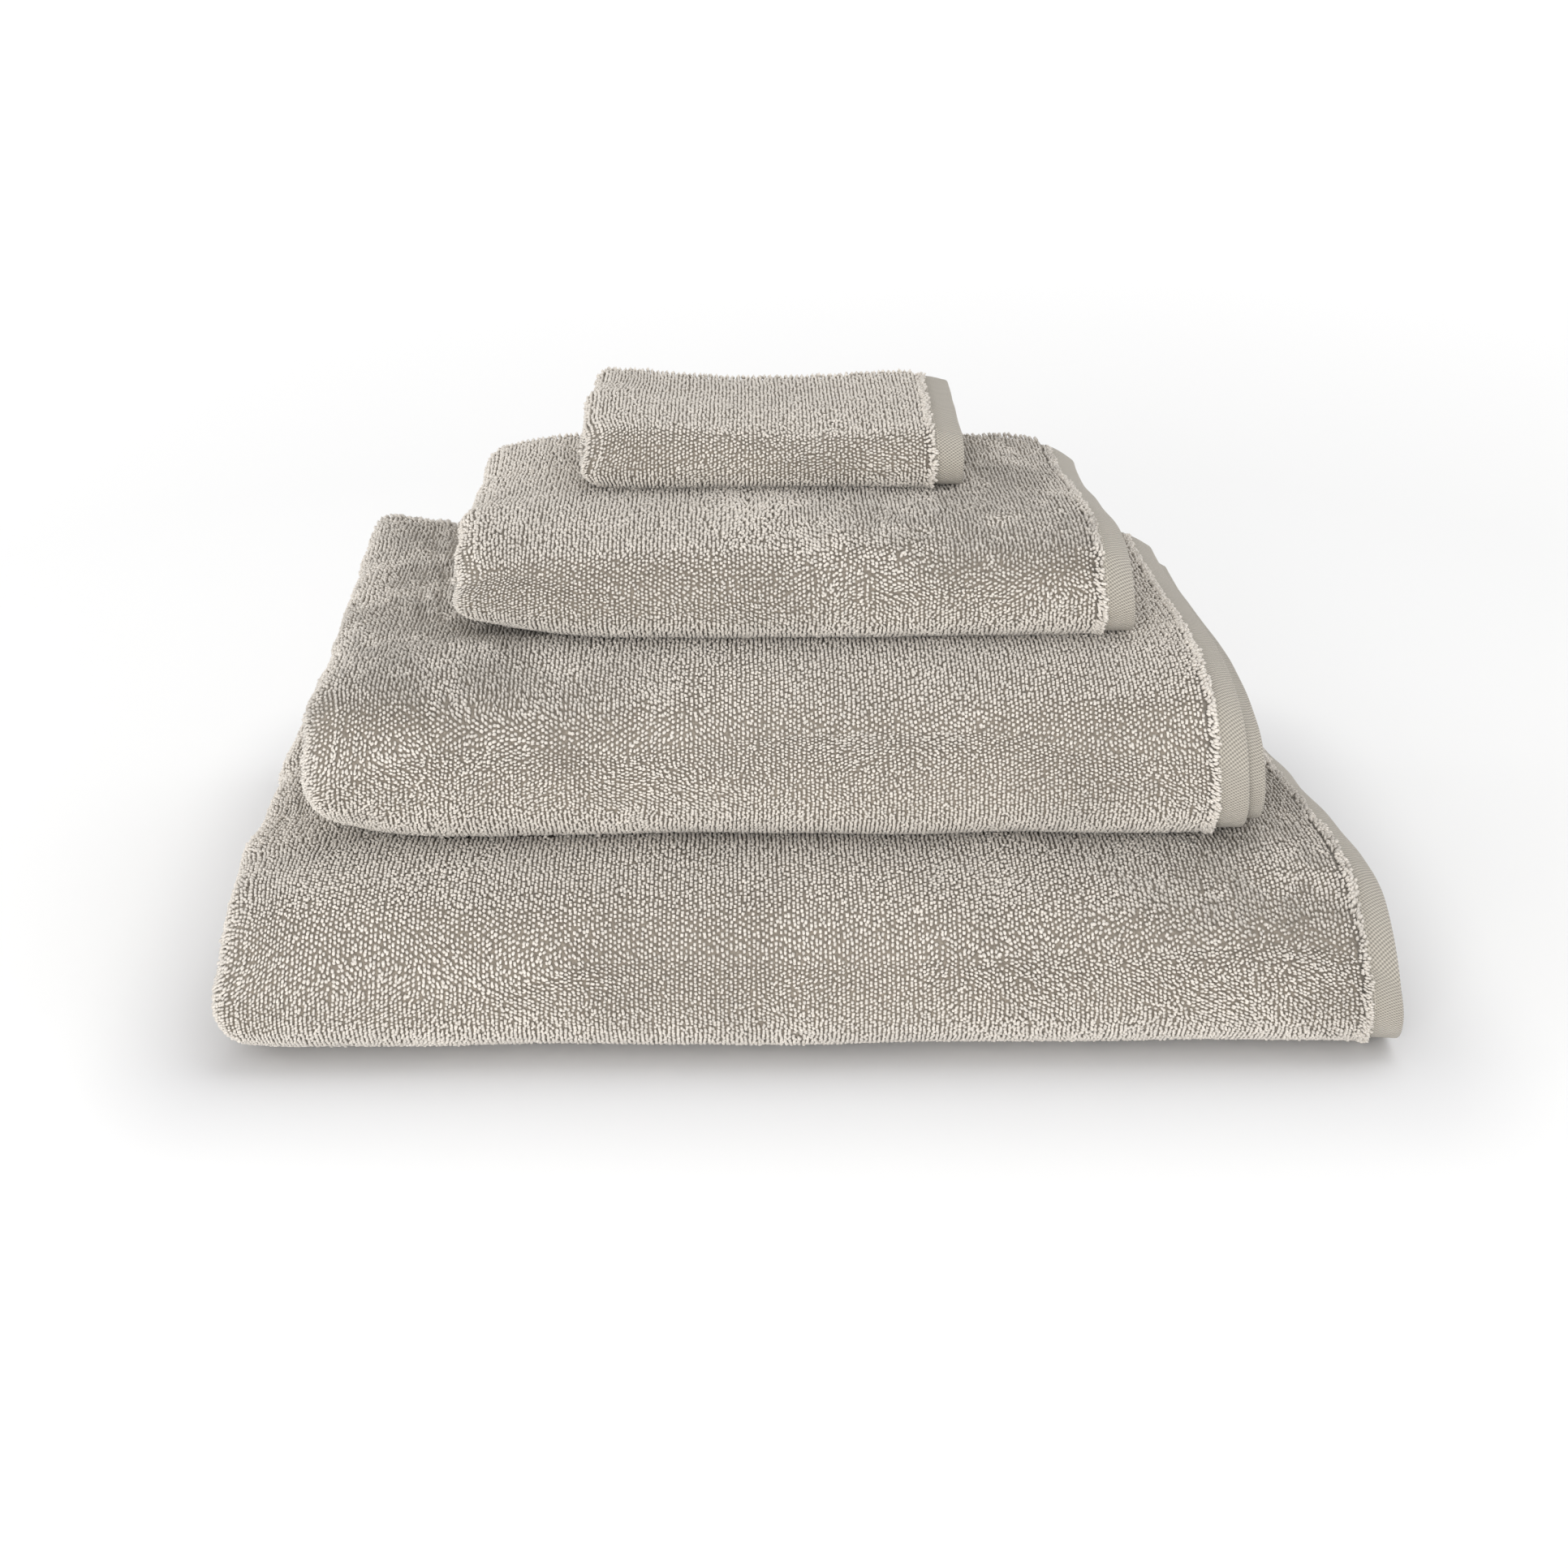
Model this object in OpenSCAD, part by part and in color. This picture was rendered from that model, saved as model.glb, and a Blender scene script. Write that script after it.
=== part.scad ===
// Set of four folded terry towels, stacked as a pyramid: bath sheet, bath towel,
// hand towel and face cloth.
//
// Each towel is one long cloth. It is folded along its length first (in quarters, or
// in half for the face cloth), and its width is then folded in three round the front.
// X runs along the folded length, with the cut ends at +X. The big folds face -Y.
// The origin is in the middle of the stack, on the surface that it stands on.

/* [Bath sheet] */
// Flat length of the bath sheet
bath_sheet_length = 1700; // [1200:10:2200]
// Flat width of the bath sheet
bath_sheet_width = 880; // [600:10:1200]
// Thickness of one layer of the bath sheet, with its pile
bath_sheet_cloth = 4.4; // [3:0.1:6]
// How far the inner end of the bath sheet stands out past the outer end
bath_sheet_end_offset = -5; // [-12:1:12]

/* [Bath towel] */
// Flat length of the bath towel
bath_towel_length = 1400; // [1000:10:1800]
// Flat width of the bath towel
bath_towel_width = 700; // [500:10:900]
// Thickness of one layer of the bath towel, with its pile
bath_towel_cloth = 4.6; // [3:0.1:6]
// How far the inner end of the bath towel stands out past the outer end
bath_towel_end_offset = 7; // [-12:1:12]
// Sideways place of the bath towel on the bath sheet
bath_towel_shift = -10; // [-40:1:40]

/* [Hand towel] */
// Flat length of the hand towel
hand_towel_length = 1040; // [700:10:1200]
// Flat width of the hand towel
hand_towel_width = 520; // [400:10:700]
// Thickness of one layer of the hand towel, with its pile
hand_towel_cloth = 3; // [3:0.1:6]
// How far the inner end of the hand towel stands out past the outer end
hand_towel_end_offset = -3; // [-12:1:12]
// Sideways place of the hand towel on the stack
hand_towel_shift = -3; // [-40:1:40]

/* [Face cloth] */
// Flat length of the face cloth
face_cloth_length = 310; // [200:5:400]
// Flat width of the face cloth
face_cloth_width = 300; // [240:5:400]
// Thickness of one layer of the face cloth, with its pile
face_cloth_cloth = 4.5; // [3:0.1:6]
// How far the inner end of the face cloth stands out past the outer end
face_cloth_end_offset = -3; // [-12:1:12]
// Sideways place of the face cloth on the stack
face_cloth_shift = -10; // [-40:1:40]

/* [Hems] */
// Width of the flat-woven border at each end of a towel
border_w = 13; // [8:1:20]
// Width of the sewn hem along each long side
side_hem_w = 10; // [6:1:16]
// Thickness of the flat cloth in borders and hems, turned and sewn
hem_cloth = 2.4; // [1.2:0.1:2.4]
// How far a seam lies from the terry
seam_inset = 2; // [1:0.5:4]
// Width of the sewing thread
thread_w = 0.8; // [0.4:0.1:1.2]
// Height of the sewing thread above the cloth
thread_h = 0.3; // [0.1:0.05:0.3]

/* [Folding] */
// Air between two layers that lie on each other
layer_gap = 0.3; // [0.2:0.1:1]
// Air between two folded panels
panel_gap = 0.6; // [0.4:0.1:2]
// How far the middle fold of a towel stays behind its outer end
mid_fold_setback = 6; // [2:1:16]
// How far the lower free edge stays in front of the back fold
lower_edge_setback = 3; // [0:1:12]
// Air between the inner free edge and the front fold
flap_clearance = 2; // [1:0.5:10]
// Air between one towel and the next
stack_gap = 0.3; // [0.2:0.1:1]

/* [Hidden] */

$fn = 64;
// Keeps a cutting shape clear of the face that it trims
overrun = 1;

terry_colour = [0.72, 0.68, 0.63];
border_colour = [0.66, 0.63, 0.56];
hem_colour = [0.68, 0.65, 0.58];
thread_colour = [0.78, 0.75, 0.69];

// A towel is a list: [flat length, flat width, cloth, layers in a panel, end offset, shift]
bath_sheet = [bath_sheet_length, bath_sheet_width, bath_sheet_cloth, 4, bath_sheet_end_offset, 0];
bath_towel = [bath_towel_length, bath_towel_width, bath_towel_cloth, 4, bath_towel_end_offset,
    bath_towel_shift];
hand_towel = [hand_towel_length, hand_towel_width, hand_towel_cloth, 4, hand_towel_end_offset,
    hand_towel_shift];
face_cloth = [face_cloth_length, face_cloth_width, face_cloth_cloth, 2, face_cloth_end_offset,
    face_cloth_shift];

function flat_l(t) = t[0];
function flat_w(t) = t[1];
function cloth(t) = t[2];
function layers(t) = t[3];
function end_offset(t) = t[4];
function shift(t) = t[5];

// From one layer's face to the next layer's same face
function pitch(t) = cloth(t) + layer_gap;
// A panel is all the layers of the lengthwise fold
function panel(t) = layers(t) * pitch(t) - layer_gap;
// The whole towel is three panels
function thickness(t) = 3 * panel(t) + 2 * panel_gap;
// Height from the towel's base to the underside of its middle panel
function flap_z(t) = panel(t) + panel_gap;

// Outer radii of the folds
function front_r(t) = thickness(t) / 2;
function back_r(t) = panel(t) + panel_gap / 2;
function outer_turn_r(t) = panel(t) / 2;
function inner_turn_r(t) = cloth(t) + layer_gap / 2;

// Folded sizes are whole tenths of a millimetre
function to_tenth(size) = round(size * 10) / 10;

// Folded width along X. The flat length is laid through the layers and their turns.
function outer_turn_run(t) = PI * (outer_turn_r(t) - cloth(t) / 2);
function inner_turn_run(t) = PI * (inner_turn_r(t) - cloth(t) / 2);
function folded_w(t) = to_tenth(layers(t) == 4
    ? (flat_l(t) - end_offset(t) + 4 * outer_turn_r(t) + 2 * (inner_turn_r(t) + mid_fold_setback)
        - outer_turn_run(t) - 2 * inner_turn_run(t)) / 4
    : (flat_l(t) - end_offset(t) + 2 * outer_turn_r(t) - outer_turn_run(t)) / 2);

// Folded depth along Y. The flat width is laid through the three panels and two folds.
function folded_d(t) = to_tenth((flat_w(t) + lower_edge_setback + flap_clearance + 2 * back_r(t)
    + 3 * front_r(t) - PI * (front_r(t) - panel(t) / 2) - PI * (back_r(t) - panel(t) / 2)) / 3);

// Places along X
function left_x(t) = -folded_w(t) / 2;
function turn_x(t) = left_x(t) + outer_turn_r(t);
function outer_end_x(t) = folded_w(t) / 2;
function inner_end_x(t) = outer_end_x(t) + end_offset(t);
function mid_turn_x(t) = outer_end_x(t) - mid_fold_setback - inner_turn_r(t);

// Places along Y
function front_y(t) = -folded_d(t) / 2 + front_r(t);
function back_y(t) = folded_d(t) / 2 - back_r(t);
function lower_edge_y(t) = folded_d(t) / 2 - lower_edge_setback;
function flap_edge_y(t) = front_y(t) + flap_clearance;

// Flat cloth lies in the middle of the thicker terry layer
function hem_inset(t) = (cloth(t) - hem_cloth) / 2;

// Heights of the towels in the stack
bath_towel_z = thickness(bath_sheet) + stack_gap;
hand_towel_z = bath_towel_z + thickness(bath_towel) + stack_gap;
face_cloth_z = hand_towel_z + thickness(hand_towel) + stack_gap;

// Puts a towel in the stack, with its back fold in line with the bath sheet's
module place(t, base_z) {
    translate([shift(t), (folded_d(bath_sheet) - folded_d(t)) / 2, base_z]) children();
}

// Half of a ring, on the side where x is negative
module turn(outer_r, wall) {
    intersection() {
        difference() {
            circle(outer_r);
            circle(outer_r - wall);
        }
        translate([-outer_r - overrun, -outer_r - overrun])
            square([outer_r + overrun, 2 * (outer_r + overrun)]);
    }
}

// A straight layer of the lengthwise fold, counted from the outside. inset thins it on both faces.
module layer(t, number, end_x, inset) {
    translate([turn_x(t), number * pitch(t) + inset])
        square([end_x - turn_x(t), cloth(t) - 2 * inset]);
}

// The lengthwise fold, drawn with x along the towel and y as the depth under its outer face
module lengthwise_fold(t, inset) {
    wall = cloth(t) - 2 * inset;
    layer(t, 0, outer_end_x(t) - border_w, inset);
    layer(t, 1, inner_end_x(t) - border_w, inset);
    translate([turn_x(t), panel(t) / 2]) turn(outer_turn_r(t) - inset, wall);
    if (layers(t) == 4) {
        layer(t, 2, mid_turn_x(t), inset);
        layer(t, 3, mid_turn_x(t), inset);
        translate([turn_x(t), panel(t) / 2]) turn(inner_turn_r(t) - inset, wall);
        translate([mid_turn_x(t), 3 * pitch(t) - layer_gap / 2])
            mirror([1, 0]) turn(inner_turn_r(t) - inset, wall);
    }
}

// A flat run of cloth between two places along Y. The outline's y becomes its height.
module run(from_y, to_y, z) {
    translate([0, to_y, z]) rotate([90, 0, 0]) linear_extrude(height = to_y - from_y) children();
}

// Half a turn of cloth round the X axis, bulging to +Y. The outline's y is the depth inwards.
module half_turn(outer_r) {
    rotate([0, 90, 0]) rotate_extrude(angle = 180) translate([outer_r, 0]) rotate(90) children();
}

// Carries an outline round the widthwise fold: lower panel, front fold, upper panel, back fold
// and middle flap. trim leaves that much of both free edges out.
module widthwise_fold(t, trim) {
    run(front_y(t), lower_edge_y(t) - trim, 0) children();
    translate([0, front_y(t), front_r(t)])
        mirror([0, 1, 0]) half_turn(front_r(t)) children();
    translate([0, 0, thickness(t)]) mirror([0, 0, 1]) run(front_y(t), back_y(t), 0) children();
    translate([0, back_y(t), thickness(t) - back_r(t)]) half_turn(back_r(t)) children();
    run(flap_edge_y(t) + trim, back_y(t), flap_z(t)) children();
}

module terry(t) {
    widthwise_fold(t, side_hem_w) lengthwise_fold(t, 0);
}

module outer_end_border(t) {
    widthwise_fold(t, 0) translate([outer_end_x(t) - border_w, hem_inset(t)])
        square([border_w, hem_cloth]);
}

module inner_end_border(t) {
    widthwise_fold(t, 0) translate([inner_end_x(t) - border_w, pitch(t) + hem_inset(t)])
        square([border_w, hem_cloth]);
}

module lower_side_hem(t) {
    run(lower_edge_y(t) - side_hem_w, lower_edge_y(t), 0) lengthwise_fold(t, hem_inset(t));
}

module inner_side_hem(t) {
    run(flap_edge_y(t), flap_edge_y(t) + side_hem_w, flap_z(t)) lengthwise_fold(t, hem_inset(t));
}

// Seams along both end borders, on their outer faces
module end_hem_thread(t) {
    seam_x = seam_inset - border_w;
    widthwise_fold(t, 0) {
        translate([outer_end_x(t) + seam_x, hem_inset(t) - thread_h]) square([thread_w, thread_h]);
    }
    widthwise_fold(t, 0) {
        translate([inner_end_x(t) + seam_x, pitch(t) + hem_inset(t) - thread_h])
            square([thread_w, thread_h]);
    }
}

// Seams along both side hems, on the outer face of the outer layer
module side_hem_thread(t) {
    seam_l = outer_end_x(t) - border_w - turn_x(t);
    lower_y = lower_edge_y(t) - side_hem_w + seam_inset;
    inner_y = flap_edge_y(t) + side_hem_w - seam_inset - thread_w;
    translate([turn_x(t), lower_y, hem_inset(t) - thread_h]) cube([seam_l, thread_w, thread_h]);
    translate([turn_x(t), inner_y, flap_z(t) + hem_inset(t) - thread_h])
        cube([seam_l, thread_w, thread_h]);
}

module bath_sheet_terry() { color(terry_colour) place(bath_sheet, 0) terry(bath_sheet); }
module bath_sheet_outer_end_border() {
    color(border_colour) place(bath_sheet, 0) outer_end_border(bath_sheet);
}
module bath_sheet_inner_end_border() {
    color(border_colour) place(bath_sheet, 0) inner_end_border(bath_sheet);
}
module bath_sheet_lower_side_hem() {
    color(hem_colour) place(bath_sheet, 0) lower_side_hem(bath_sheet);
}
module bath_sheet_inner_side_hem() {
    color(hem_colour) place(bath_sheet, 0) inner_side_hem(bath_sheet);
}
module bath_sheet_end_hem_thread() {
    color(thread_colour) place(bath_sheet, 0) end_hem_thread(bath_sheet);
}
module bath_sheet_side_hem_thread() {
    color(thread_colour) place(bath_sheet, 0) side_hem_thread(bath_sheet);
}

module bath_towel_terry() {
    color(terry_colour) place(bath_towel, bath_towel_z) terry(bath_towel);
}
module bath_towel_outer_end_border() {
    color(border_colour) place(bath_towel, bath_towel_z) outer_end_border(bath_towel);
}
module bath_towel_inner_end_border() {
    color(border_colour) place(bath_towel, bath_towel_z) inner_end_border(bath_towel);
}
module bath_towel_lower_side_hem() {
    color(hem_colour) place(bath_towel, bath_towel_z) lower_side_hem(bath_towel);
}
module bath_towel_inner_side_hem() {
    color(hem_colour) place(bath_towel, bath_towel_z) inner_side_hem(bath_towel);
}
module bath_towel_end_hem_thread() {
    color(thread_colour) place(bath_towel, bath_towel_z) end_hem_thread(bath_towel);
}
module bath_towel_side_hem_thread() {
    color(thread_colour) place(bath_towel, bath_towel_z) side_hem_thread(bath_towel);
}

module hand_towel_terry() {
    color(terry_colour) place(hand_towel, hand_towel_z) terry(hand_towel);
}
module hand_towel_outer_end_border() {
    color(border_colour) place(hand_towel, hand_towel_z) outer_end_border(hand_towel);
}
module hand_towel_inner_end_border() {
    color(border_colour) place(hand_towel, hand_towel_z) inner_end_border(hand_towel);
}
module hand_towel_lower_side_hem() {
    color(hem_colour) place(hand_towel, hand_towel_z) lower_side_hem(hand_towel);
}
module hand_towel_inner_side_hem() {
    color(hem_colour) place(hand_towel, hand_towel_z) inner_side_hem(hand_towel);
}
module hand_towel_end_hem_thread() {
    color(thread_colour) place(hand_towel, hand_towel_z) end_hem_thread(hand_towel);
}
module hand_towel_side_hem_thread() {
    color(thread_colour) place(hand_towel, hand_towel_z) side_hem_thread(hand_towel);
}

module face_cloth_terry() {
    color(terry_colour) place(face_cloth, face_cloth_z) terry(face_cloth);
}
module face_cloth_outer_end_border() {
    color(border_colour) place(face_cloth, face_cloth_z) outer_end_border(face_cloth);
}
module face_cloth_inner_end_border() {
    color(border_colour) place(face_cloth, face_cloth_z) inner_end_border(face_cloth);
}
module face_cloth_lower_side_hem() {
    color(hem_colour) place(face_cloth, face_cloth_z) lower_side_hem(face_cloth);
}
module face_cloth_inner_side_hem() {
    color(hem_colour) place(face_cloth, face_cloth_z) inner_side_hem(face_cloth);
}
module face_cloth_end_hem_thread() {
    color(thread_colour) place(face_cloth, face_cloth_z) end_hem_thread(face_cloth);
}
module face_cloth_side_hem_thread() {
    color(thread_colour) place(face_cloth, face_cloth_z) side_hem_thread(face_cloth);
}

bath_sheet_terry();
bath_sheet_outer_end_border();
bath_sheet_inner_end_border();
bath_sheet_lower_side_hem();
bath_sheet_inner_side_hem();
bath_sheet_end_hem_thread();
bath_sheet_side_hem_thread();
bath_towel_terry();
bath_towel_outer_end_border();
bath_towel_inner_end_border();
bath_towel_lower_side_hem();
bath_towel_inner_side_hem();
bath_towel_end_hem_thread();
bath_towel_side_hem_thread();
hand_towel_terry();
hand_towel_outer_end_border();
hand_towel_inner_end_border();
hand_towel_lower_side_hem();
hand_towel_inner_side_hem();
hand_towel_end_hem_thread();
hand_towel_side_hem_thread();
face_cloth_terry();
face_cloth_outer_end_border();
face_cloth_inner_end_border();
face_cloth_lower_side_hem();
face_cloth_inner_side_hem();
face_cloth_end_hem_thread();
face_cloth_side_hem_thread();
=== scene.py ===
"""A set of four folded terry towels, stacked as a pyramid: bath sheet, bath towel, hand towel
and face cloth.

Each towel is one cloth. Its length is folded in quarters (the face cloth in half), and its
width is then folded in three round the front. A place on the cloth is given by two numbers:
u along its length, from the terry's outer end, and s along its width, from the lower free edge.
Lengths are in millimetres until a mesh is written, and meshes are in metres.
"""

import math
from collections import namedtuple

import bpy
import numpy as np
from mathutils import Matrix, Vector


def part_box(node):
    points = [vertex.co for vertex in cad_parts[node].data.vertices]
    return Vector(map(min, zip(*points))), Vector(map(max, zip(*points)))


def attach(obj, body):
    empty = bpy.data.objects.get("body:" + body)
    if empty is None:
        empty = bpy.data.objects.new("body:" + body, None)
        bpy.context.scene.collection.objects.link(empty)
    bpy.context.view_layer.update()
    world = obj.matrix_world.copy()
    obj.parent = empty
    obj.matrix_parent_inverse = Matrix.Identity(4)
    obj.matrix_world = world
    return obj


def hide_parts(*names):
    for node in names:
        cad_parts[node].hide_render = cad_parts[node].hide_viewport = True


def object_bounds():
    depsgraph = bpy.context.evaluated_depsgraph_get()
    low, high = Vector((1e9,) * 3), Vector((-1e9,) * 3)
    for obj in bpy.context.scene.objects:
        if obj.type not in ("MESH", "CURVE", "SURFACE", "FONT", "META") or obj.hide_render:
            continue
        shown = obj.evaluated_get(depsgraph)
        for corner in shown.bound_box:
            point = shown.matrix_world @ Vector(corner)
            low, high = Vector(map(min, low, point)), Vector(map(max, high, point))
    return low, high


MM = 0.001
TINY = 1e-6

# The folds, as the part has them
LAYER_GAP = 0.3
PANEL_GAP = 0.6
MID_FOLD_SETBACK = 6.0
# The middle flap reaches this close to the inside of the front fold, and stretches to it over
# the last part of its width
FLAP_CLEARANCE = 0.7
FLAP_STRETCH = 40.0

# Pile. The ground cloth lies PILE_DEPTH under the towel's outer face, and the terry keeps SKIN
# inside its layer.
PILE_DEPTH = 0.9
SKIN = 0.15
# How far apart the loops are along the towel and across it: in plain sight, on the back fold,
# on the rounded ends, and under the towel above
FINE_PITCH = (1.62, 1.84)
COARSE_PITCH = (2.38, 2.54)
TURN_PITCH = (2.02, 2.18)
HIDDEN_PITCH = (2.85, 3.05)
LOOPS_IN_A_PIECE = 11500

# Name, layers in a panel, flat width and length in metres
TOWELS = [
    ("bath_sheet", 4, (0.88, 1.70)),
    ("bath_towel", 4, (0.70, 1.40)),
    ("hand_towel", 4, (0.52, 1.04)),
    ("face_cloth", 2, (0.30, 0.31)),
]

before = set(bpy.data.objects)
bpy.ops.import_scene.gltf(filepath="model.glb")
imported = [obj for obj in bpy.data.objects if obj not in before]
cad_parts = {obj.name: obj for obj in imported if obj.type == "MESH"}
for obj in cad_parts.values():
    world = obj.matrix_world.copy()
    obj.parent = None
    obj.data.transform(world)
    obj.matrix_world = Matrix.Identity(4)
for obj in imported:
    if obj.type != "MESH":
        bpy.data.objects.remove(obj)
bounds_before = [list(corner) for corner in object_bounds()]


# ---------------------------------------------------------------- camera

def add_camera():
    """A camera in front of the stack and a little above it."""
    camera_data = bpy.data.cameras.new("camera")
    camera_data.lens = 58.23
    camera_data.sensor_width = 36.0
    camera_data.clip_end = 20.0
    camera = bpy.data.objects.new("camera", camera_data)
    camera.location = (-0.0206, -0.9628, 0.4437)
    pitch = math.radians(22.358)
    yaw = math.radians(-0.846)
    camera.rotation_euler = (math.pi / 2 - pitch, 0.0, yaw)
    bpy.context.scene.collection.objects.link(camera)
    bpy.context.scene.camera = camera


# ---------------------------------------------------------------- smooth random fields

def lattice_value(ix, iy, seed):
    """A repeatable random number from 0 to 1 for each whole-numbered place."""
    mixed = np.sin(ix * 127.1 + iy * 311.7 + seed * 74.7) * 43758.5453
    return mixed - np.floor(mixed)


def smooth_noise(x, y, size, seed):
    """A smooth random field from -1 to 1 that changes over about `size` millimetres."""
    gx = np.asarray(x, float) / size
    gy = np.asarray(y, float) / size
    ix, iy = np.floor(gx), np.floor(gy)
    fx, fy = gx - ix, gy - iy
    fx = fx * fx * (3 - 2 * fx)
    fy = fy * fy * (3 - 2 * fy)
    low = lattice_value(ix, iy, seed) * (1 - fx) + lattice_value(ix + 1, iy, seed) * fx
    high = lattice_value(ix, iy + 1, seed) * (1 - fx) + lattice_value(ix + 1, iy + 1, seed) * fx
    return (low * (1 - fy) + high * fy) * 2 - 1


def lumpy(x, y, lumps, towel):
    """A sum of smooth random fields. Each has its size, its height, its seed, and how much the
    seed grows from one towel to the next."""
    return sum(
        height * smooth_noise(x, y, size, seed + growth * towel.number)
        for size, height, seed, growth in lumps
    )


def smooth_step(low, high, value):
    """0 up to `low`, 1 from `high` on, and a smooth rise between them."""
    share = np.clip((np.asarray(value, float) - low) / (high - low), 0, 1)
    return share * share * (3 - 2 * share)


# ---------------------------------------------------------------- the folded towel

# A stretch of the cloth between two places u. A straight one goes from one x to another at a
# depth under the outer face, and side is -1 where the cloth's outer side faces outwards. A turn
# has its centre at x_from and that depth, and a radius.
Stretch = namedtuple("Stretch", "kind start end x_from x_to depth radius side")


class Towel:
    """The folds of one towel, read from the CAD nodes."""

    def __init__(self, number, name, layers, flat):
        self.number = number
        self.name = name
        self.layers = layers
        self.flat = flat
        low, high = (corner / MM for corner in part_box(name + "_terry"))
        self.base = low.z
        self.thickness = high.z - low.z
        self.panel = (self.thickness - 2 * PANEL_GAP) / 3
        self.pitch = (self.panel + LAYER_GAP) / layers
        self.cloth = self.pitch - LAYER_GAP
        self.left = low.x
        self.front = low.y
        self.back = high.y
        self.turn_x = low.x + self.panel / 2
        border_low, border_high = (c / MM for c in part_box(name + "_outer_end_border"))
        self.outer_end = border_high.x
        self.border_w = border_high.x - border_low.x
        self.inner_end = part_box(name + "_inner_end_border")[1].x / MM
        self.inner_turn = (self.cloth + LAYER_GAP) / 2
        self.mid_turn_x = self.outer_end - MID_FOLD_SETBACK - self.cloth - LAYER_GAP / 2
        hem_low, hem_high = (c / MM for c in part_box(name + "_lower_side_hem"))
        self.side_hem_w = hem_high.y - hem_low.y
        self.hem_cloth = self.cloth - 2 * (hem_low.z - low.z)
        self.lower_edge = hem_high.y
        self.front_r = self.thickness / 2
        self.back_r = self.panel + PANEL_GAP / 2
        self.front_y = self.front + self.front_r
        self.back_y = self.back - self.back_r
        self.flap_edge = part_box(name + "_inner_side_hem")[0].y / MM
        self.lay_out_width()
        self.lay_out_length()

    def lay_out_width(self):
        """Places along s where the lower panel, front fold, upper panel, back fold and flap end."""
        self.s_lower = self.lower_edge - self.front_y
        self.s_front = self.s_lower + math.pi * self.front_r
        self.s_upper = self.s_front + self.back_y - self.front_y
        self.s_back = self.s_upper + math.pi * self.back_r
        self.s_flap = self.s_back + self.back_y - self.flap_edge

    def add_straight(self, x_from, x_to, depth, side):
        end = self.u_end + abs(x_to - x_from)
        self.stretches.append(
            Stretch("straight", self.u_end, end, x_from, x_to, depth, 0.0, side))
        self.u_end = end

    def add_turn(self, kind, x, depth, radius):
        end = self.u_end + math.pi * radius
        self.stretches.append(Stretch(kind, self.u_end, end, x, x, depth, radius, 1))
        self.u_end = end

    def lay_out_length(self):
        """Straight stretches and turns of the lengthwise fold, in the order that u meets them."""
        half = self.cloth / 2
        self.stretches = []
        self.u_end = 0.0
        self.add_straight(self.outer_end - self.border_w, self.turn_x, half, -1)
        self.u_outer_layer = self.u_end
        self.add_turn("left_turn", self.turn_x, self.panel / 2, self.panel / 2 - half)
        self.u_left_turn = self.u_end
        if self.layers == 4:
            mid_centre = 3 * self.pitch - LAYER_GAP / 2
            self.add_straight(self.turn_x, self.mid_turn_x, self.panel - half, 1)
            self.add_turn("right_turn", self.mid_turn_x, mid_centre, self.inner_turn)
            self.add_straight(self.mid_turn_x, self.turn_x, 2 * self.pitch + half, -1)
            self.add_turn("inner_turn", self.turn_x, self.panel / 2, self.inner_turn)
        self.add_straight(self.turn_x, self.inner_end - self.border_w, self.pitch + half, 1)

    def along_length(self, u):
        """x, depth, and the cloth's outer-side normal and direction there, for places u."""
        u = np.asarray(u, float)
        out = np.zeros((6,) + u.shape)
        for stretch in self.stretches:
            from_here = (u >= stretch.start) | (stretch is self.stretches[0])
            to_here = (u < stretch.end) | (stretch is self.stretches[-1])
            here = from_here & to_here
            w = u[here] - stretch.start
            x, depth, radius = stretch.x_from, stretch.depth, stretch.radius
            if stretch.kind == "straight":
                way = 1.0 if stretch.x_to > x else -1.0
                zero = 0 * w
                rows = (x + way * w, depth + zero, zero, stretch.side + zero, way + zero, zero)
            else:
                sn, cs = np.sin(w / radius), np.cos(w / radius)
                if stretch.kind == "left_turn":
                    rows = (x - radius * sn, depth - radius * cs, -sn, -cs, -cs, sn)
                elif stretch.kind == "right_turn":
                    rows = (x + radius * sn, depth + radius * cs, sn, cs, cs, -sn)
                else:
                    rows = (x - radius * sn, depth + radius * cs, sn, -cs, -cs, -sn)
            for k in range(6):
                out[k][here] = rows[k]
        return out

    def along_width(self, s, depth):
        """y, z, and the inward normal and the direction of s there, for places s at a depth."""
        s, depth = np.broadcast_arrays(np.asarray(s, float), np.asarray(depth, float))
        lower = s < self.s_lower
        front = (s >= self.s_lower) & (s < self.s_front)
        upper = (s >= self.s_front) & (s < self.s_upper)
        back = (s >= self.s_upper) & (s < self.s_back)
        a = np.clip((s - self.s_lower) / self.front_r, 0, math.pi)
        b = np.clip((s - self.s_upper) / self.back_r, 0, math.pi)
        places = [lower, front, upper, back]
        fr = self.front_r - depth
        br = self.back_r - depth
        top = self.thickness - depth
        flap = self.panel + PANEL_GAP + depth
        one = np.ones_like(s)
        y = np.select(
            places,
            [
                self.lower_edge - s,
                self.front_y - fr * np.sin(a),
                self.front_y + s - self.s_front,
                self.back_y + br * np.sin(b),
            ],
            self.back_y - (s - self.s_back),
        )
        z = np.select(
            places,
            [
                depth,
                self.front_r - fr * np.cos(a),
                top,
                self.thickness - self.back_r + br * np.cos(b),
            ],
            flap,
        )
        in_y = np.select(places, [0 * s, np.sin(a), 0 * s, -np.sin(b)], 0 * s)
        in_z = np.select(places, [one, np.cos(a), -one, -np.cos(b)], one)
        to_y = np.select(places, [-one, -np.cos(a), one, np.cos(b)], -one)
        to_z = np.select(places, [0 * s, np.sin(a), 0 * s, -np.sin(b)], 0 * s)
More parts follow.
